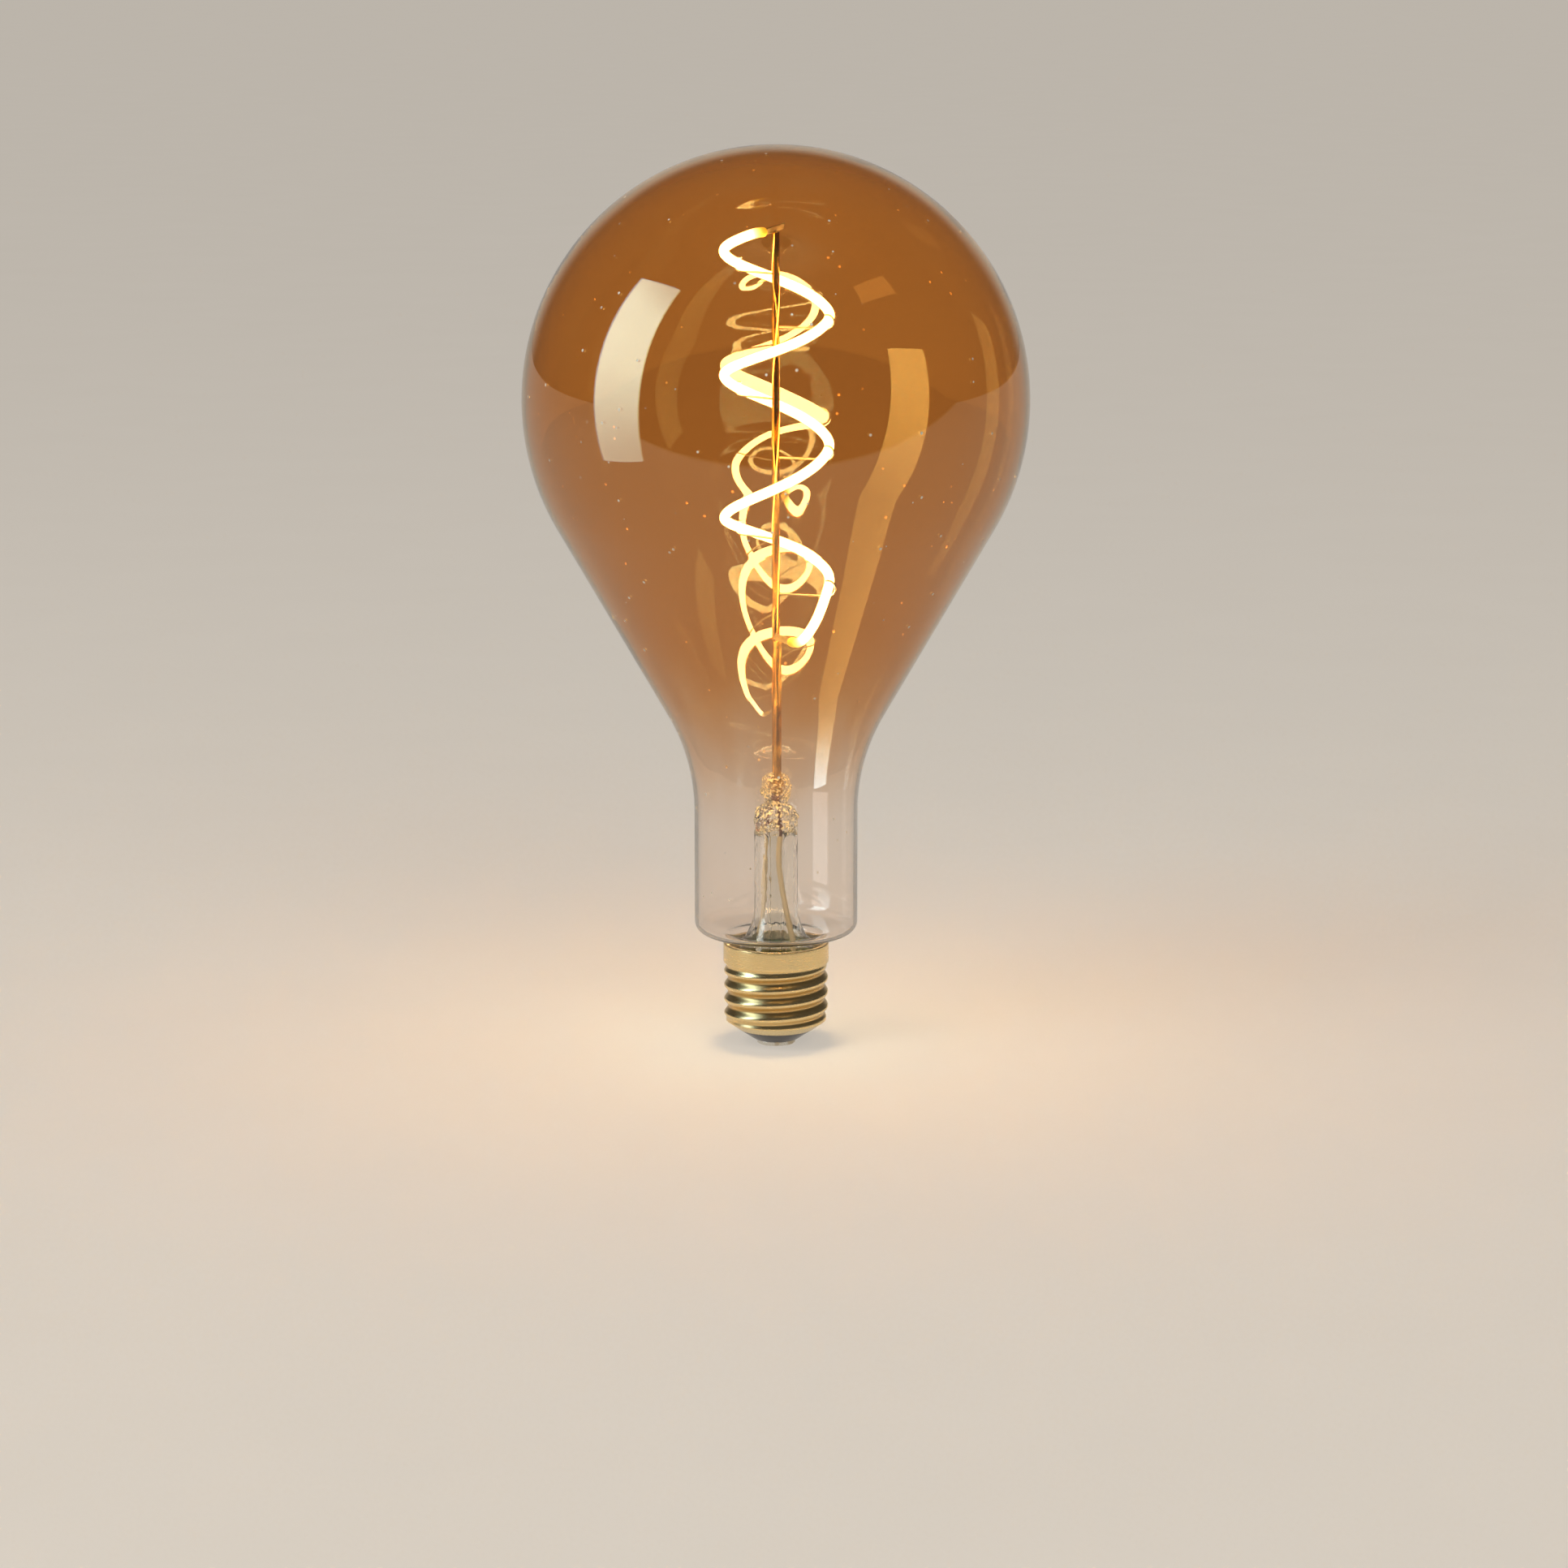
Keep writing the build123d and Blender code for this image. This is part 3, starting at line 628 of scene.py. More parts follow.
filament_line = smooth_line(filament_corners(), POINTS_PER_CORNER)
filament_length = along_line(filament_line)
from_end = np.minimum(filament_length, filament_length[-1] - filament_length)
end_share = np.clip(from_end / FILAMENT_RADIUS, 0, 1)
end_round = np.maximum(1 - (1 - end_share) ** 2, FILAMENT_END_LEAST)
make_piece(
    "spiral_filament",
    wire_rings(filament_line, FILAMENT_RADIUS * np.sqrt(end_round), FILAMENT_SIDES),
    lit_phosphor(),
    ["filament"],
    values={"lit": np.clip((from_end - DARK_TIP) / TIP_FADE, 0, 1) ** TIP_FADE_POWER},
)

# The flat strips that join the filament's ends to the tops of the rods.
# They are thin plated metal, welded on edge and slightly aslant, and rise towards their free ends.

# Each has its rod, its angle round the axis, its overhang past the rod, and its tilt about its own line.
TERMINALS = {
    "upper_terminal": ("upper_lead", UPPER_TERMINAL_ANGLE, 3.0, -110),
    "lower_terminal": ("lower_lead", LOWER_TERMINAL_ANGLE, 1.0, 70),
}
TERMINAL_WIDTH = 1.6
TERMINAL_RISE = 0.16
TERMINAL_STEPS = 24
TERMINAL_SIDES = 32
TERMINAL_SQUARENESS = 0.25
PLATE_BRIGHT = (0.86, 0.78, 0.62, 1)
PLATE_DULL = (0.5, 0.45, 0.38, 1)
PLATE_GRAIN = (3, 3, 3)


def terminal_line(rod, angle, overhang):
    """Line of a strip: from the filament's end past the rod's top, rising evenly to its free end."""
    start, way = rod_end(rod, angle)
    along = np.linspace(0, TERMINAL_REACH + overhang, TERMINAL_STEPS)[:, None]
    return start + along * (way + TERMINAL_RISE * UPRIGHT)


def strip_rings(line, width, thickness, tilt):
    """Rings of a flat strip, tilted about its line: ellipses across it, squared off by raising the size of
    their cosine and sine to a power below one.
    """
    across, lift = across_and_up(line)
    angles = np.linspace(0, 2 * np.pi, TERMINAL_SIDES, endpoint=False)[None, :, None]
    waves = np.cos(angles), np.sin(angles)
    flat, edge = (np.sign(wave) * np.abs(wave) ** TERMINAL_SQUARENESS / 2 for wave in waves)
    turn = np.radians(tilt)
    level = width * flat * np.cos(turn) - thickness * edge * np.sin(turn)
    height = width * flat * np.sin(turn) + thickness * edge * np.cos(turn)
    return line[:, None] + level * across + height * lift


terminal_plate = metal(
    "terminal_plate", PLATE_BRIGHT, PLATE_DULL, roughness=0.3, grain=PLATE_GRAIN, depth=0.02
)
for node, (rod, angle, overhang, tilt) in TERMINALS.items():
    line = terminal_line(rod, angle, overhang)
    rings = strip_rings(line, TERMINAL_WIDTH, 2 * TERMINAL_HALF_THICKNESS, tilt)
    make_piece(node + "_strip", rings, terminal_plate, [node])

# The wire hooks that carry the coil: from the tall rod, under the filament and up round its outer side.
# They are fine steel wire, welded to the rod.

HOOK_COUNT = 6
HOOK_BRIGHT = (0.7, 0.66, 0.6, 1)
HOOK_DULL = (0.42, 0.37, 0.31, 1)
HOOK_GRAIN = (4, 4, 4)

hook_steel = metal("hook_steel", HOOK_BRIGHT, HOOK_DULL, roughness=0.25, grain=HOOK_GRAIN, depth=0.01)
dress(hook_steel, *(f"support_hook_{number + 1}" for number in range(HOOK_COUNT)))

# The glass: a blown globe that tapers to a neck and is drawn in to the seal, all of one thin wall.
# A brown film on its inside tints the light amber, mirrors a little, and fades out down the neck.

GLASS_SIDES = 224
GLASS_WALL = 0.9
CROWN_ANGLE = 89.6
TAPER = 30
SHOULDER_CENTRE = (69.6, 59.65)
SHOULDER_RADIUS = 49.2
CORNER_CENTRE = (17.4, 31.65)
CORNER_RADIUS = 3.0
NECK_FLOOR_SLOPE = 14
SEAL_CURVE_CENTRE = (13.3, 26.3)
SEAL_CURVE_RADIUS = 1.2
CLEAR = (1, 1, 1, 1)
AMBER = (0.98, 0.565, 0.22, 1)
LAMP_AMBER = (0.97, 0.8, 0.54, 1)
FILM_MIRROR_COLOUR = (0.45, 0.65, 0.82, 1)
FILM_MIRROR = 0.21
FILM_BOTTOM = 50
FILM_TOP = 104
FILM_LEAST = 0.14
FILM_EDGE = 20
STREAK_SCALE = 0.08
STREAK_STRETCH = (1, 1, 0.3)
WAVE_DEPTH = 0.12
WAVE_SCALE = 0.04
WAVE_STRETCH = (1, 1, 0.6)
DUST_COLOUR = (0.85, 0.78, 0.66, 1)
DUST_CELLS = 0.2
DUST_SIZE = 0.075
DUST_ROUGHNESS = 0.8
DUST_CLOUDS = 0.05
DUST_CLOUD_EDGE = (0.44, 0.56)


def glass_wall(inset, end_height):
    """Outline of the glass from the globe's top down to the seal's end, moved inwards by inset: arcs of the
    globe, the shoulder, the neck's corner and the seal, joined by straight runs.
    """
    globe_radius = envelope_high[0] - inset
    globe_centre = (0, envelope_high[2] - envelope_high[0])
    globe = arc(globe_centre, globe_radius, CROWN_ANGLE, -TAPER, steps=100)
    shoulder = arc(SHOULDER_CENTRE, SHOULDER_RADIUS + inset, 180 - TAPER, 180, steps=26)
    corner = arc(CORNER_CENTRE, CORNER_RADIUS - inset, 0, NECK_FLOOR_SLOPE - 90, steps=14)
    seal = arc(SEAL_CURVE_CENTRE, SEAL_CURVE_RADIUS + inset, 90 + NECK_FLOOR_SLOPE, 180, steps=10)
    parts = [globe, shoulder, corner, seal, [[seal[-1][0], end_height]]]
    outline = [globe]
    for part, following in zip(parts, parts[1:]):
        outline += [run(part[-1], following[0], steps=10), following]
    return np.concatenate(outline)


def amber_film_glass():
    """Thin glass with the film inside: most light is tinted and a little is mirrored, and the outside has a
    few specks of dust.
    """
    material, nodes = new_material("amber_film_glass")
    place = surface_place(nodes)
    height = nodes.add("SeparateXYZ", "Z", Vector=place)
    streaks = noise(nodes, surface_place(nodes, STREAK_STRETCH), STREAK_SCALE, detail=2.0)
    fade = stepped(nodes, height + FILM_EDGE * (streaks - 0.5), FILM_BOTTOM, FILM_TOP)
    film = FILM_LEAST + (1 - FILM_LEAST) * fade
    inside = nodes.add("Attribute", "Fac", {"attribute_name": "inside"})
    tint = blended(nodes, film, CLEAR, AMBER)
    uneven = noise(nodes, surface_place(nodes, WAVE_STRETCH), WAVE_SCALE, detail=1.0)
    waves = bumped(nodes, uneven, WAVE_DEPTH)
    glass = principled(
        nodes, Base_Color=tint, Roughness=0.0, IOR=GLASS_IOR, Transmission_Weight=1.0, Normal=waves
    )
    mirror = principled(nodes, Base_Color=FILM_MIRROR_COLOUR, Metallic=1.0, Roughness=0.0, Normal=waves)
    dust = principled(nodes, Base_Color=DUST_COLOUR, Roughness=DUST_ROUGHNESS)
    surface = nodes.add(
        "MixShader", "Shader", Fac=film * inside * FILM_MIRROR, Shader=glass, Shader_001=mirror
    )
    specks = nodes.add("TexVoronoi", "Distance", Vector=place, Scale=DUST_CELLS)
    gathered = stepped(nodes, noise(nodes, place, DUST_CLOUDS), *DUST_CLOUD_EDGE)
    dusty = gathered * (1 - inside) * nodes.maths("LESS_THAN", specks, DUST_SIZE)
    surface = nodes.add("MixShader", "Shader", Fac=dusty, Shader=surface, Shader_001=dust)
    bare_way = nodes.add("BsdfTransparent", "BSDF", Color=CLEAR)
    filmed_way = nodes.add("BsdfTransparent", "BSDF", Color=LAMP_AMBER)
    open_way = nodes.add("MixShader", "Shader", Fac=film, Shader=bare_way, Shader_001=filmed_way)
    shown(nodes, through_for_lamps(nodes, surface, open_way))
    return material


envelope_low, envelope_high = span("glass_envelope")
outside_wall = glass_wall(0, envelope_low[2])
inside_wall = glass_wall(GLASS_WALL, envelope_low[2])[::-1]
make_piece(
    "amber_globe",
    turned(np.concatenate([outside_wall, inside_wall]), GLASS_SIDES),
    amber_film_glass(),
    ["glass_envelope"],
    values={"inside": np.repeat([0.0, 1.0], [len(outside_wall), len(inside_wall)])},
)

# The driver inside the cap: a round board with its rectifier, chip, capacitor and fuse resistor.
# The board is varnished laminate, and the parts are moulded, canned or dipped and soldered to it.

LAMINATE = (0.06, 0.2, 0.1, 1)
LAMINATE_DARK = (0.03, 0.1, 0.06, 1)
MOULDED_BLACK = (0.03, 0.03, 0.032, 1)
MOULDED_GREY = (0.07, 0.07, 0.07, 1)
CAN_BLUE = (0.05, 0.08, 0.16, 1)
CAN_DARK = (0.03, 0.04, 0.08, 1)
DIPPED_PALE = (0.55, 0.5, 0.4, 1)
DIPPED_DULL = (0.42, 0.36, 0.27, 1)
SPECKLE_EDGE = (0.35, 0.65)
SPECKLE_ROUGHNESS = 0.15


def speckled(name, first, second, roughness, scale, depth):
    """Moulded, cast or dipped stuff: two tones in grains, rougher in the second one, and slightly uneven."""
    material, nodes = new_material(name)
    grains = stepped(nodes, noise(nodes, surface_place(nodes), scale, detail=5.0), *SPECKLE_EDGE)
    shader = principled(
        nodes,
        Base_Color=blended(nodes, grains, first, second),
        Roughness=roughness + SPECKLE_ROUGHNESS * grains,
        Normal=bumped(nodes, grains, depth),
    )
    shown(nodes, shader)
    return material


board_varnish = speckled("board_varnish", LAMINATE, LAMINATE_DARK, roughness=0.3, scale=0.9, depth=0.01)
moulded_case = speckled("moulded_case", MOULDED_BLACK, MOULDED_GREY, roughness=0.5, scale=6.0, depth=0.01)
can_sleeve = speckled("can_sleeve", CAN_BLUE, CAN_DARK, roughness=0.3, scale=0.8, depth=0.01)
dipped_body = speckled("dipped_body", DIPPED_PALE, DIPPED_DULL, roughness=0.45, scale=2.0, depth=0.02)
dress(board_varnish, "driver_board")
dress(moulded_case, "rectifier", "driver_chip")
dress(can_sleeve, "capacitor")
dress(dipped_body, "fuse_resistor")

# The two wires from the board, one to the contact in a plastic skin and one bare to the shell.
# Both are soldered at each end.

SKIN_PALE = (0.78, 0.75, 0.68, 1)
SKIN_DULL = (0.66, 0.62, 0.54, 1)
TIN_BRIGHT = (0.82, 0.8, 0.76, 1)
TIN_DULL = (0.6, 0.57, 0.52, 1)
TIN_GRAIN = (2, 2, 2)

wire_skin = speckled("wire_skin", SKIN_PALE, SKIN_DULL, roughness=0.4, scale=1.2, depth=0.01)
tinned_wire = metal("tinned_wire", TIN_BRIGHT, TIN_DULL, roughness=0.3, grain=TIN_GRAIN, depth=0.01)
dress(wire_skin, "contact_wire")
dress(tinned_wire, "shell_wire")

# The cement that fills the gap between the glass and the shell's skirt.
# It is a resin mixed with stone powder, poured in as a ring and baked hard.

CEMENT_TAN = (0.6, 0.5, 0.36, 1)
CEMENT_BROWN = (0.42, 0.32, 0.2, 1)

baked_cement = speckled("baked_cement", CEMENT_TAN, CEMENT_BROWN, roughness=0.8, scale=2.2, depth=0.08)
dress(baked_cement, "basing_cement")

# The cap's shell: thin brass sheet, drawn to a cup, with the round screw thread rolled into it.
# Its skirt holds the cement, and its lower edge is turned in over the insulator.

SHELL_SIDES = 180
SHELL_WALL = 0.35
SKIRT_RADIUS = 13.25
SKIRT_BOTTOM = 21.0
STEP_RADIUS = 0.3
STEP_MARGIN = 0.05
STEP_DROP = 0.1
THREAD_BOTTOM = 6.0
THREAD_RADIUS = 12.6
THREAD_DEPTH = 0.5
THREAD_PITCH = 3.629
THREAD_FADE = 2.0
THREAD_ROWS = 120
LIP_RADIUS = 9.8
LIP_ROWS = 10
LIP_WALL_SHARE = 0.7
BRASS = (0.9, 0.7, 0.36, 1)
BRASS_ROOT = (0.62, 0.43, 0.18, 1)
ROLLING_STRETCH = (0.3, 0.3, 7)
ROLLING_DEPTH = 0.012
ROLLING_ROUGHNESS = 0.12
ROOT_ROUGHNESS = 0.24
CREST_POLISH = 0.08
HANDLED_CLOUDS = 0.12
HANDLED_ROUGHNESS = 0.1

shell_low, shell_high = span("cap_shell")


def smooth_share(value):
    """Share held between 0 and 1, eased at both ends: three times its square less twice its cube."""
    value = np.clip(value, 0, 1)
    return value * value * (3 - 2 * value)


def shell_rows():
    """Rows of the shell's outside from its upper edge to its lip, as radius and height."""
    skirt_end = SKIRT_BOTTOM + STEP_RADIUS + STEP_MARGIN
    skirt = run((SKIRT_RADIUS, shell_high[2] - SHELL_WALL), (SKIRT_RADIUS, skirt_end), steps=8)
    step = arc((SKIRT_RADIUS - STEP_RADIUS, SKIRT_BOTTOM + STEP_RADIUS), STEP_RADIUS, 0, -90, steps=5)
    height = np.linspace(SKIRT_BOTTOM - STEP_DROP, THREAD_BOTTOM, THREAD_ROWS)
    thread = np.stack([np.full(THREAD_ROWS, THREAD_RADIUS), height], axis=-1)
    lip = run((THREAD_RADIUS, THREAD_BOTTOM), (LIP_RADIUS, shell_low[2]), LIP_ROWS)
    return np.concatenate([skirt, step, thread, lip, [[LIP_RADIUS, shell_low[2]]]])


def shell_section():
    """Closed section of the shell: its rolled edge, its outside, and its inside a wall's thickness in,
    which at the lip is part of a wall's thickness up.
    """
    half = SHELL_WALL / 2
    edge = arc((SKIRT_RADIUS - half, shell_high[2] - half), half, 180, 0, steps=8)
    outside = shell_rows()
    inside = outside - np.array([SHELL_WALL, 0])
    inside[-LIP_ROWS:] = outside[-LIP_ROWS:] + np.array([0, LIP_WALL_SHARE * SHELL_WALL])
    return np.concatenate([edge, outside, inside[::-1]])


def threaded(rows):
    """Rings of the shell and how near each point is to a crest. The radius swings by the thread's depth
    times the cosine of the height's turns less the angle, so that the crests climb as a screw's do, and
    the swing eases out at both ends of the thread.
    """
    angles = np.linspace(0, 2 * np.pi, SHELL_SIDES, endpoint=False)
    height = rows[:, 1:] + 0 * angles
    standing = smooth_share(np.minimum(height - THREAD_BOTTOM, SKIRT_BOTTOM - height) / THREAD_FADE)
    swing = np.cos(2 * np.pi * (height - THREAD_BOTTOM) / THREAD_PITCH - angles)
    radius = rows[:, :1] + THREAD_DEPTH * standing * swing
    rings = np.stack([radius * np.cos(angles), radius * np.sin(angles), height], axis=-1)
    return rings, 1 - standing * (0.5 - 0.5 * swing)


def rolled_brass():
    """Brass with the fine lines of rolling round it, dull in the thread's roots and bright on its crests."""
    material, nodes = new_material("rolled_brass")
    crest = nodes.add("Attribute", "Fac", {"attribute_name": "crest"})
    lines = noise(nodes, surface_place(nodes, ROLLING_STRETCH), 1.0)
    clouds = noise(nodes, surface_place(nodes), HANDLED_CLOUDS, detail=2.0)
    roughness = ROOT_ROUGHNESS - CREST_POLISH * crest + ROLLING_ROUGHNESS * lines
    shader = principled(
        nodes,
        Base_Color=blended(nodes, crest, BRASS_ROOT, BRASS),
        Metallic=1.0,
        Roughness=roughness + HANDLED_ROUGHNESS * clouds,
        Normal=bumped(nodes, lines, ROLLING_DEPTH),
    )
    shown(nodes, shader)
    return material


shell_rings, shell_crest = threaded(shell_section())
make_piece(
    "threaded_shell",
    shell_rings,
    rolled_brass(),
    ["cap_shell"],
    joined=True,
    values={"crest": shell_crest},
)

# The insulator that closes the shell's end round the contact.
# It is black glass, pressed hot into the shell, with a smooth fire-polished face.

INSULATOR_SIDES = 120
INSULATOR_OUTLINE = ((12.25, 6), (9.8, 4.25), (9.8, 4), (5.6, 1.2), (1.5, 1.2), (1.5, 6))
INSULATOR_EDGE = 0.12
EASE_STEPS = 5
BLACK_GLASS = (0.012, 0.011, 0.013, 1)
BLACK_GLASS_CLOUD = (0.035, 0.03, 0.034, 1)


def eased(outline, edge):
    """Closed outline with its corners rounded: from edge before a corner to edge after it, on the curve
    whose share t has (1 - t) squared of the first, t squared of the second and the rest of the corner.
    """
    corners = np.array(outline, float)
    back = np.roll(corners, 1, axis=0) - corners
    on = np.roll(corners, -1, axis=0) - corners
    start = corners + edge * back / np.linalg.norm(back, axis=1, keepdims=True)
    finish = corners + edge * on / np.linalg.norm(on, axis=1, keepdims=True)
    t = np.linspace(0, 1, EASE_STEPS + 1)[None, :, None]
    curves = (1 - t) ** 2 * start[:, None] + 2 * t * (1 - t) * corners[:, None] + t**2 * finish[:, None]
    return curves.reshape(-1, 2)


insulator_rings = turned(eased(INSULATOR_OUTLINE, INSULATOR_EDGE), INSULATOR_SIDES)
black_glass = speckled("black_glass", BLACK_GLASS, BLACK_GLASS_CLOUD, roughness=0.08, scale=0.3, depth=0.015)
make_piece(
    "insulator_cone", insulator_rings, black_glass, ["cap_insulator"], joined=True
)

# The contact at the cap's tip: a plated disc with a shank through the insulator, riveted over inside.
# Its face is worn bright and carries fine scratches.

CONTACT_SIDES = 96
CONTACT_OUTLINE = ((0, 6.8), (2.6, 6.8), (2.6, 6), (1.5, 6), (1.5, 1.2), (4.8, 1.2), (4.8, 0), (0, 0))
CONTACT_EDGE = 0.3
PLATING = (0.8, 0.77, 0.7, 1)
PLATING_WORN = (0.62, 0.52, 0.36, 1)
SCRATCHES = (5, 0.6, 5)

contact_rows = eased(CONTACT_OUTLINE, CONTACT_EDGE)[EASE_STEPS : -EASE_STEPS]
worn_plating = metal("worn_plating", PLATING, PLATING_WORN, roughness=0.22, grain=SCRATCHES, depth=0.02)
make_piece(
    "contact_rivet",
    turned(contact_rows, CONTACT_SIDES),
    worn_plating,
    ["centre_contact"],
)

# The floor: a wide sheet of matt pale paper, which also is the background.
# It glows a little of its own colour to what sees it, so that it stays even and keeps its shadows, and in
# mirrors it ends a little way in front, where the surroundings are dim.

FLOOR_REACH = 15.0
FLOOR_CORNERS = ((-1, -1, 0), (1, -1, 0), (1, 1, 0), (-1, 1, 0))
PAPER = (0.8, 0.735, 0.65, 1)
PAPER_FIBRE = (0.78, 0.715, 0.63, 1)
PAPER_ROUGHNESS = 0.9
PAPER_LIFT = 0.6
FIBRE_SCALE = 0.02
MIRRORED_EDGE = (-430, -390)
FILM_PASSES = 2
FILM_DIMMING = 0.55
SURROUND_DIM = (0.07, 0.066, 0.06, 1)


def met(nodes, kind, least):
    """One for rays that have met at least so many surfaces of a kind on their way, else nothing."""
    return nodes.maths("GREATER_THAN", nodes.add("LightPath", kind + " Depth"), least - 0.5)


def through_globe(nodes):
    """One for rays that have been inside the globe, else nothing. The film's mirror on the near side sends
    a ray only twice through the glass's outer face.
    """
    return met(nodes, "Transmission", FILM_PASSES + 1)


def floor_paper():
    """Paper with faint fibres, part of it lit by the lamps and part of it even for camera and mirrors. It is
    dim in mirrors past its front edge, and dimmer in the film's mirror on the near side of the glass.
    """
    material, nodes = new_material("floor_paper")
    place = surface_place(nodes)
    colour = blended(nodes, noise(nodes, place, FIBRE_SCALE), PAPER_FIBRE, PAPER)
    rays = [nodes.add("LightPath", f"Is {kind} Ray") for kind in ("Camera", "Glossy", "Transmission")]
    seen = nodes.maths("MAXIMUM", nodes.maths("MAXIMUM", rays[0], rays[1]), rays[2])
    paper = principled(nodes, Base_Color=colour, Roughness=PAPER_ROUGHNESS, Specular_IOR_Level=0.0)
    even = nodes.add("Emission", "Emission", Color=colour)
    surface = nodes.add("MixShader", "Shader", Fac=seen * PAPER_LIFT, Shader=paper, Shader_001=even)
    past_edge = 1 - stepped(nodes, nodes.add("SeparateXYZ", "Y", Vector=place), *MIRRORED_EDGE)
    filmed = met(nodes, "Transmission", 1) * (1 - through_globe(nodes))
    dimmed = met(nodes, "Glossy", 1) * nodes.maths("MAXIMUM", past_edge, FILM_DIMMING * filmed)
    dim = nodes.add("Emission", "Emission", Color=SURROUND_DIM)
    surface = nodes.add("MixShader", "Shader", Fac=dimmed, Shader=surface, Shader_001=dim)
    shown(nodes, surface)
    return material


def stage_sheet(name, corners, material, steps=1):
    """Sheet between four corners in metres: each point is a share of the way along both pairs of sides."""
    shares = np.linspace(0, 1, steps + 1)
    u, v = (side[..., None] for side in np.meshgrid(shares, shares))
    first, second, third, fourth = np.array(corners, float)
    grid = (1 - v) * ((1 - u) * first + u * second) + v * ((1 - u) * fourth + u * third)
    index = np.arange((steps + 1) ** 2).reshape(steps + 1, steps + 1)
    faces = np.stack([index[:-1, :-1], index[:-1, 1:], index[1:, 1:], index[1:, :-1]], axis=-1)
    mesh = bpy.data.meshes.new(name)
    mesh.from_pydata(grid.reshape(-1, 3).tolist(), [], faces.reshape(-1, 4).tolist())
    mesh.materials.append(material)
    sheet = bpy.data.objects.new(name, mesh)
    bpy.context.scene.collection.objects.link(sheet)
    return sheet


stage_sheet("floor", FLOOR_REACH * np.array(FLOOR_CORNERS), floor_paper())

# The light: a tall soft box to the left and a low card, which only mirrors show, two soft lamps, four small
# lamps on the axis for the filament's own light, and surroundings that are pale behind the bulb and dim
# overhead. As for the floor and the camera, places are in metres, and heights on the box in millimetres.

BOX_CORNERS = ((-0.4, -0.233, 0.004), (-0.4, -0.062, 0.03), (-0.4, -0.016, 0.53), (-0.4, -0.228, 0.655))
BOX_STEPS = 16
BOX_FOOT = (1.65, 2.1, 2.4, 1)
BOX_BRIGHT = (3.5, 4.7, 5.4, 1)
BOX_HEAD = (2.1, 2.8, 3.2, 1)
BOX_BRIGHT_FROM = 330
BOX_BRIGHT_TO = 420
BOX_TOP = 640
INSIDE_FOOT = (5.6, 7.3, 8.4, 1)
INSIDE_HEAD = (2.0, 2.6, 3.0, 1)
INSIDE_FADE_FROM = 60
LOW_CARD_CORNERS = (
    (-0.116, -0.064, 0.001),
    (-0.138, 0.0, 0.001),
    (-0.138, 0.0, 0.04),
    (-0.116, -0.064, 0.04),
)
LOW_CARD_BRIGHT = (2.4, 2.3, 2.2, 1)
# Each has its place, its size, its power and its colour.
SOFT_LAMPS = {
    "left_lamp": ((-1.0, -0.7, 1.0), 0.7, 10.0, (1.0, 0.97, 0.93)),
    "front_lamp": ((0.5, -1.3, 0.9), 0.8, 8.0, (1.0, 0.96, 0.9)),
}
LAMP_AIM = (0, 0, 0.1)
GLOW_LAMP_HEIGHTS = (0.115, 0.14, 0.165, 0.19)
GLOW_LAMP_RADIUS = 0.016
GLOW_LAMP_POWER = 0.085
GLOW_LAMP_COLOUR = (1.0, 0.72, 0.38)
SURROUND_PALE = (0.5, 0.457, 0.405, 1)
BACKDROP_SIDE_FADE = (0.8, 0.96)
BACKDROP_TOP_FADE = (0.26, 0.5)
GLOBE_FACES = 4


def mirrored_only(nodes, glow, share=1.0):
    """A share of a glow for rays that have met a mirror on their way, and a clear way for all others."""
    clear_way = nodes.add("BsdfTransparent", "BSDF", Color=CLEAR)
    mirrored = share * met(nodes, "Glossy", 1)
    return nodes.add("MixShader", "Shader", Fac=mirrored, Shader=clear_way, Shader_001=glow)


def box_cloth():
    """Cloth of the soft box, dimmer towards its foot and its head, and brighter below by way of the inside
    of the globe.
    """
    material, nodes = new_material("box_cloth")
    height = nodes.add("SeparateXYZ", "Z", Vector=surface_place(nodes))
    colour = blended(nodes, stepped(nodes, height, 0, BOX_BRIGHT_FROM), BOX_FOOT, BOX_BRIGHT)
    colour = blended(nodes, stepped(nodes, height, BOX_BRIGHT_TO, BOX_TOP), colour, BOX_HEAD)
    raised = stepped(nodes, height, INSIDE_FADE_FROM, BOX_TOP)
    inside_colour = blended(nodes, raised, INSIDE_FOOT, INSIDE_HEAD)
    outside = nodes.add("Emission", "Emission", Color=colour)
    inside = nodes.add("Emission", "Emission", Color=inside_colour)
    glow = nodes.add("MixShader", "Shader", Fac=through_globe(nodes), Shader=outside, Shader_001=inside)
    shown(nodes, mirrored_only(nodes, glow))
    return material


def card_paper():
    """Paper of the low card, which shows only in the far side of the glass."""
    material, nodes = new_material("card_paper")
    glow = nodes.add("Emission", "Emission", Color=LOW_CARD_BRIGHT)
    shown(nodes, mirrored_only(nodes, glow, through_globe(nodes)))
    return material


soft_box = stage_sheet("soft_box", BOX_CORNERS, box_cloth(), BOX_STEPS)
low_card = stage_sheet("low_card", LOW_CARD_CORNERS, card_paper())
for card in (soft_box, low_card):
    card.visible_camera = False
    card.visible_diffuse = False
    card.visible_shadow = False


def hang_lamp(name, light, place, power, colour):
    """Lamp that lights matt surfaces and isn't seen itself, aimed at one place on the bulb's axis."""
    light.energy = power
    light.color = colour
    lamp = bpy.data.objects.new(name, light)
    lamp.location = place
    lamp.rotation_euler = (Vector(LAMP_AIM) - Vector(place)).to_track_quat("-Z", "Y").to_euler()
    lamp.visible_camera = False
    lamp.visible_glossy = False
    lamp.visible_transmission = False
    bpy.context.scene.collection.objects.link(lamp)


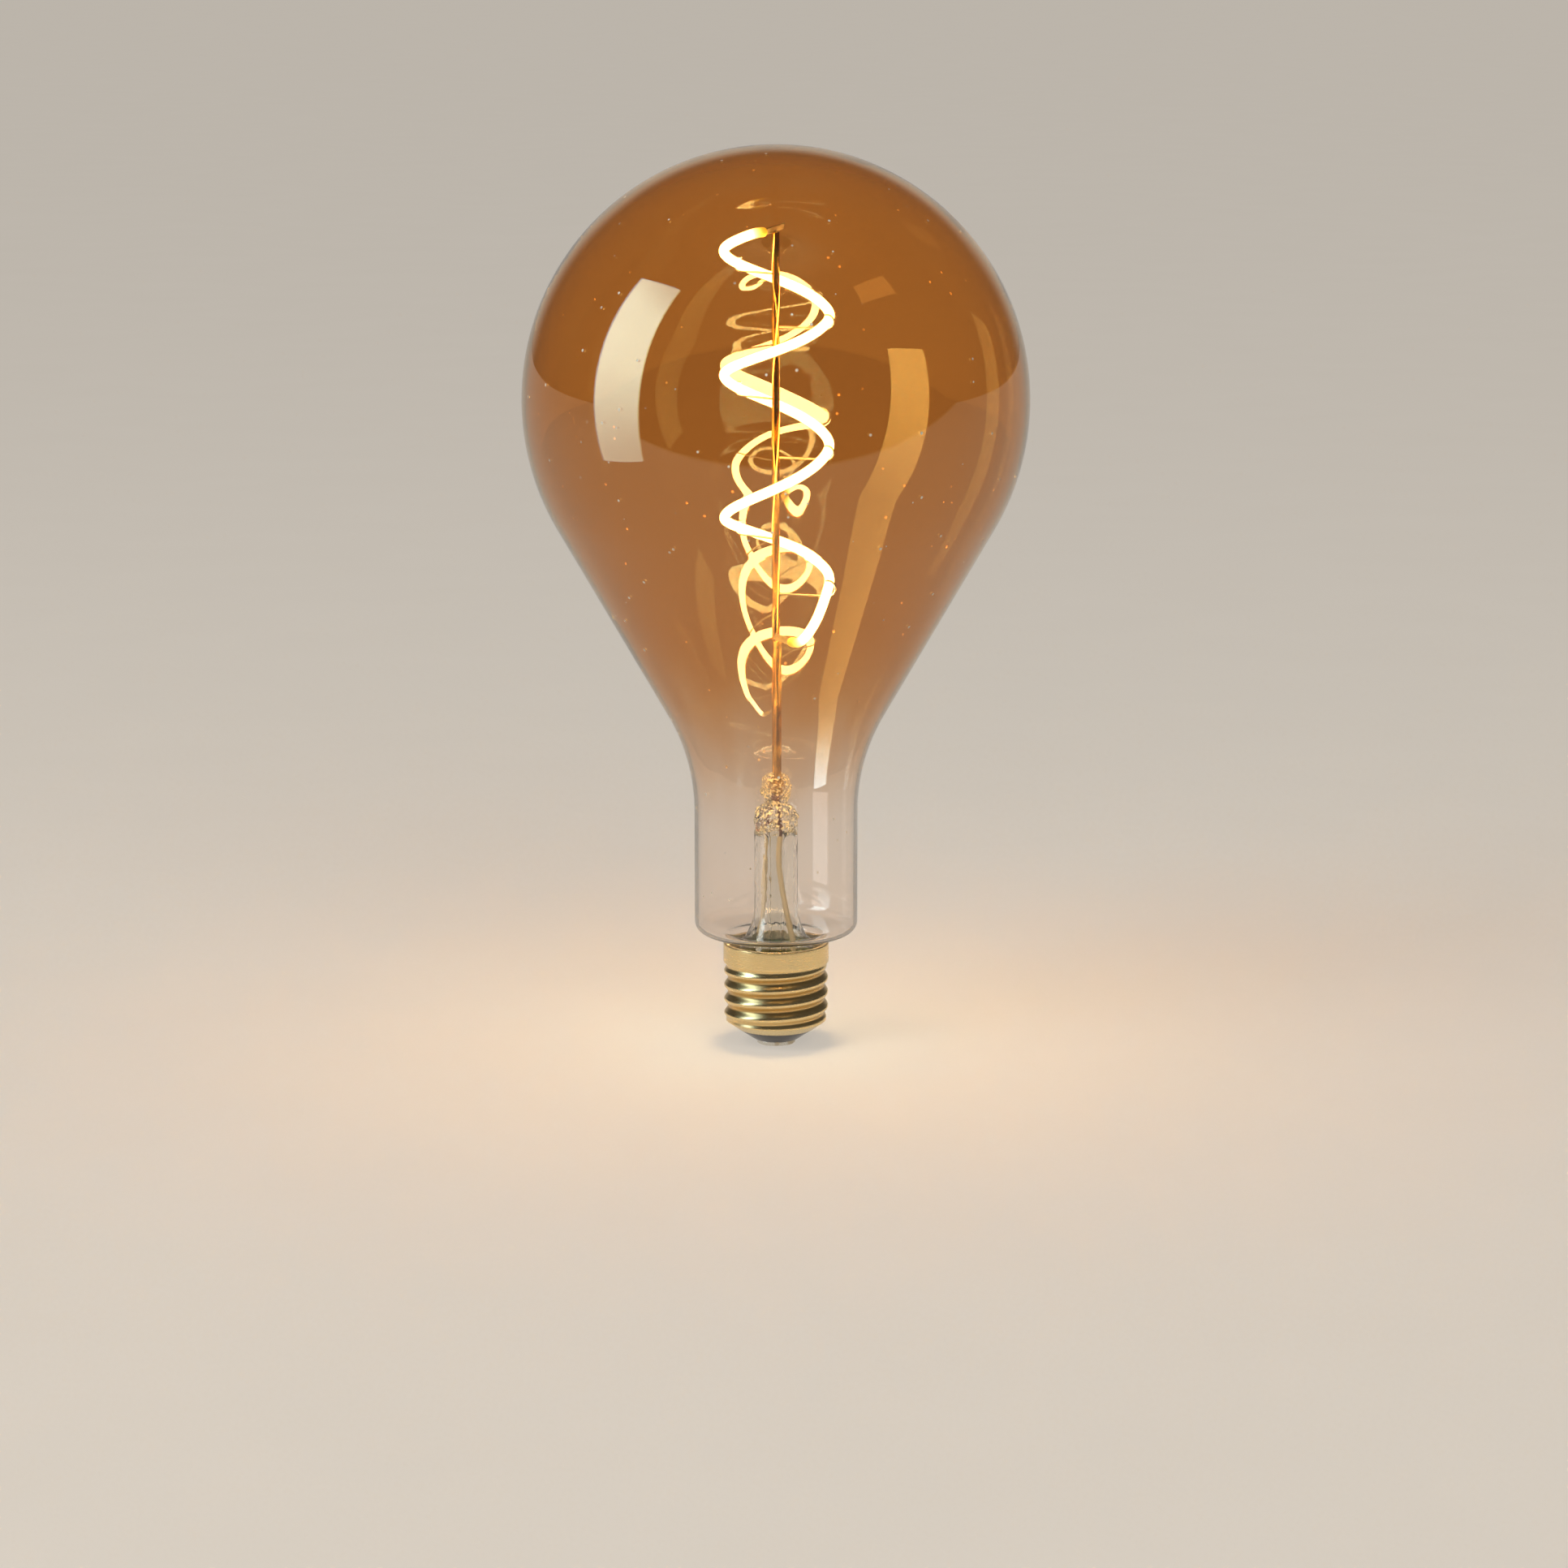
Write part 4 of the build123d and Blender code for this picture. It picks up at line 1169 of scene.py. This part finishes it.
for name, (place, size, power, colour) in SOFT_LAMPS.items():
    area_light = bpy.data.lights.new(name, "AREA")
    area_light.size = size
    hang_lamp(name, area_light, place, power, colour)
for height in GLOW_LAMP_HEIGHTS:
    round_light = bpy.data.lights.new("glow_lamp", "POINT")
    round_light.shadow_soft_size = GLOW_LAMP_RADIUS
    hang_lamp("glow_lamp", round_light, (0, 0, height), GLOW_LAMP_POWER, GLOW_LAMP_COLOUR)


def surroundings():
    """World that is pale to rays straight from the camera, through the globe's walls too, and in a patch
    behind the bulb that fades to its sides and its top. It is dim to all other rays.
    """
    world = bpy.data.worlds.new("studio")
    world.use_nodes = True
    world.node_tree.nodes.clear()
    nodes = Shade(world.node_tree)
    way = nodes.add("TexCoord", "Generated")
    side = stepped(nodes, nodes.add("SeparateXYZ", "Y", Vector=way), *BACKDROP_SIDE_FADE)
    top = stepped(nodes, nodes.add("SeparateXYZ", "Z", Vector=way), *BACKDROP_TOP_FADE)
    turned_aside = nodes.maths("MAXIMUM", met(nodes, "Glossy", 1), met(nodes, "Diffuse", 1))
    straight = (1 - turned_aside) * (1 - met(nodes, "Transmission", GLOBE_FACES + 1))
    pale = nodes.maths("MAXIMUM", side * (1 - top), straight)
    colour = blended(nodes, pale, SURROUND_DIM, SURROUND_PALE)
    nodes.add("OutputWorld", None, Surface=nodes.add("Background", "Background", Color=colour))
    return world


bpy.context.scene.world = surroundings()

# The camera, at the photograph's angle: in front, a little above the globe, looking slightly down.
# Its long lens keeps the globe's outline nearly round.

CAMERA_PLACE = (0.002, -1.1533, 0.2968)
CAMERA_PITCH = 78.7
CAMERA_LENS = 108.07
CAMERA_SENSOR = 36.0

camera_data = bpy.data.cameras.new("camera")
camera_data.lens = CAMERA_LENS
camera_data.sensor_width = CAMERA_SENSOR
camera = bpy.data.objects.new("camera", camera_data)
camera.location = CAMERA_PLACE
camera.rotation_euler = (np.radians(CAMERA_PITCH), 0, 0)
bpy.context.scene.collection.objects.link(camera)
bpy.context.scene.camera = camera
bpy.context.scene.view_settings.view_transform = "Standard"
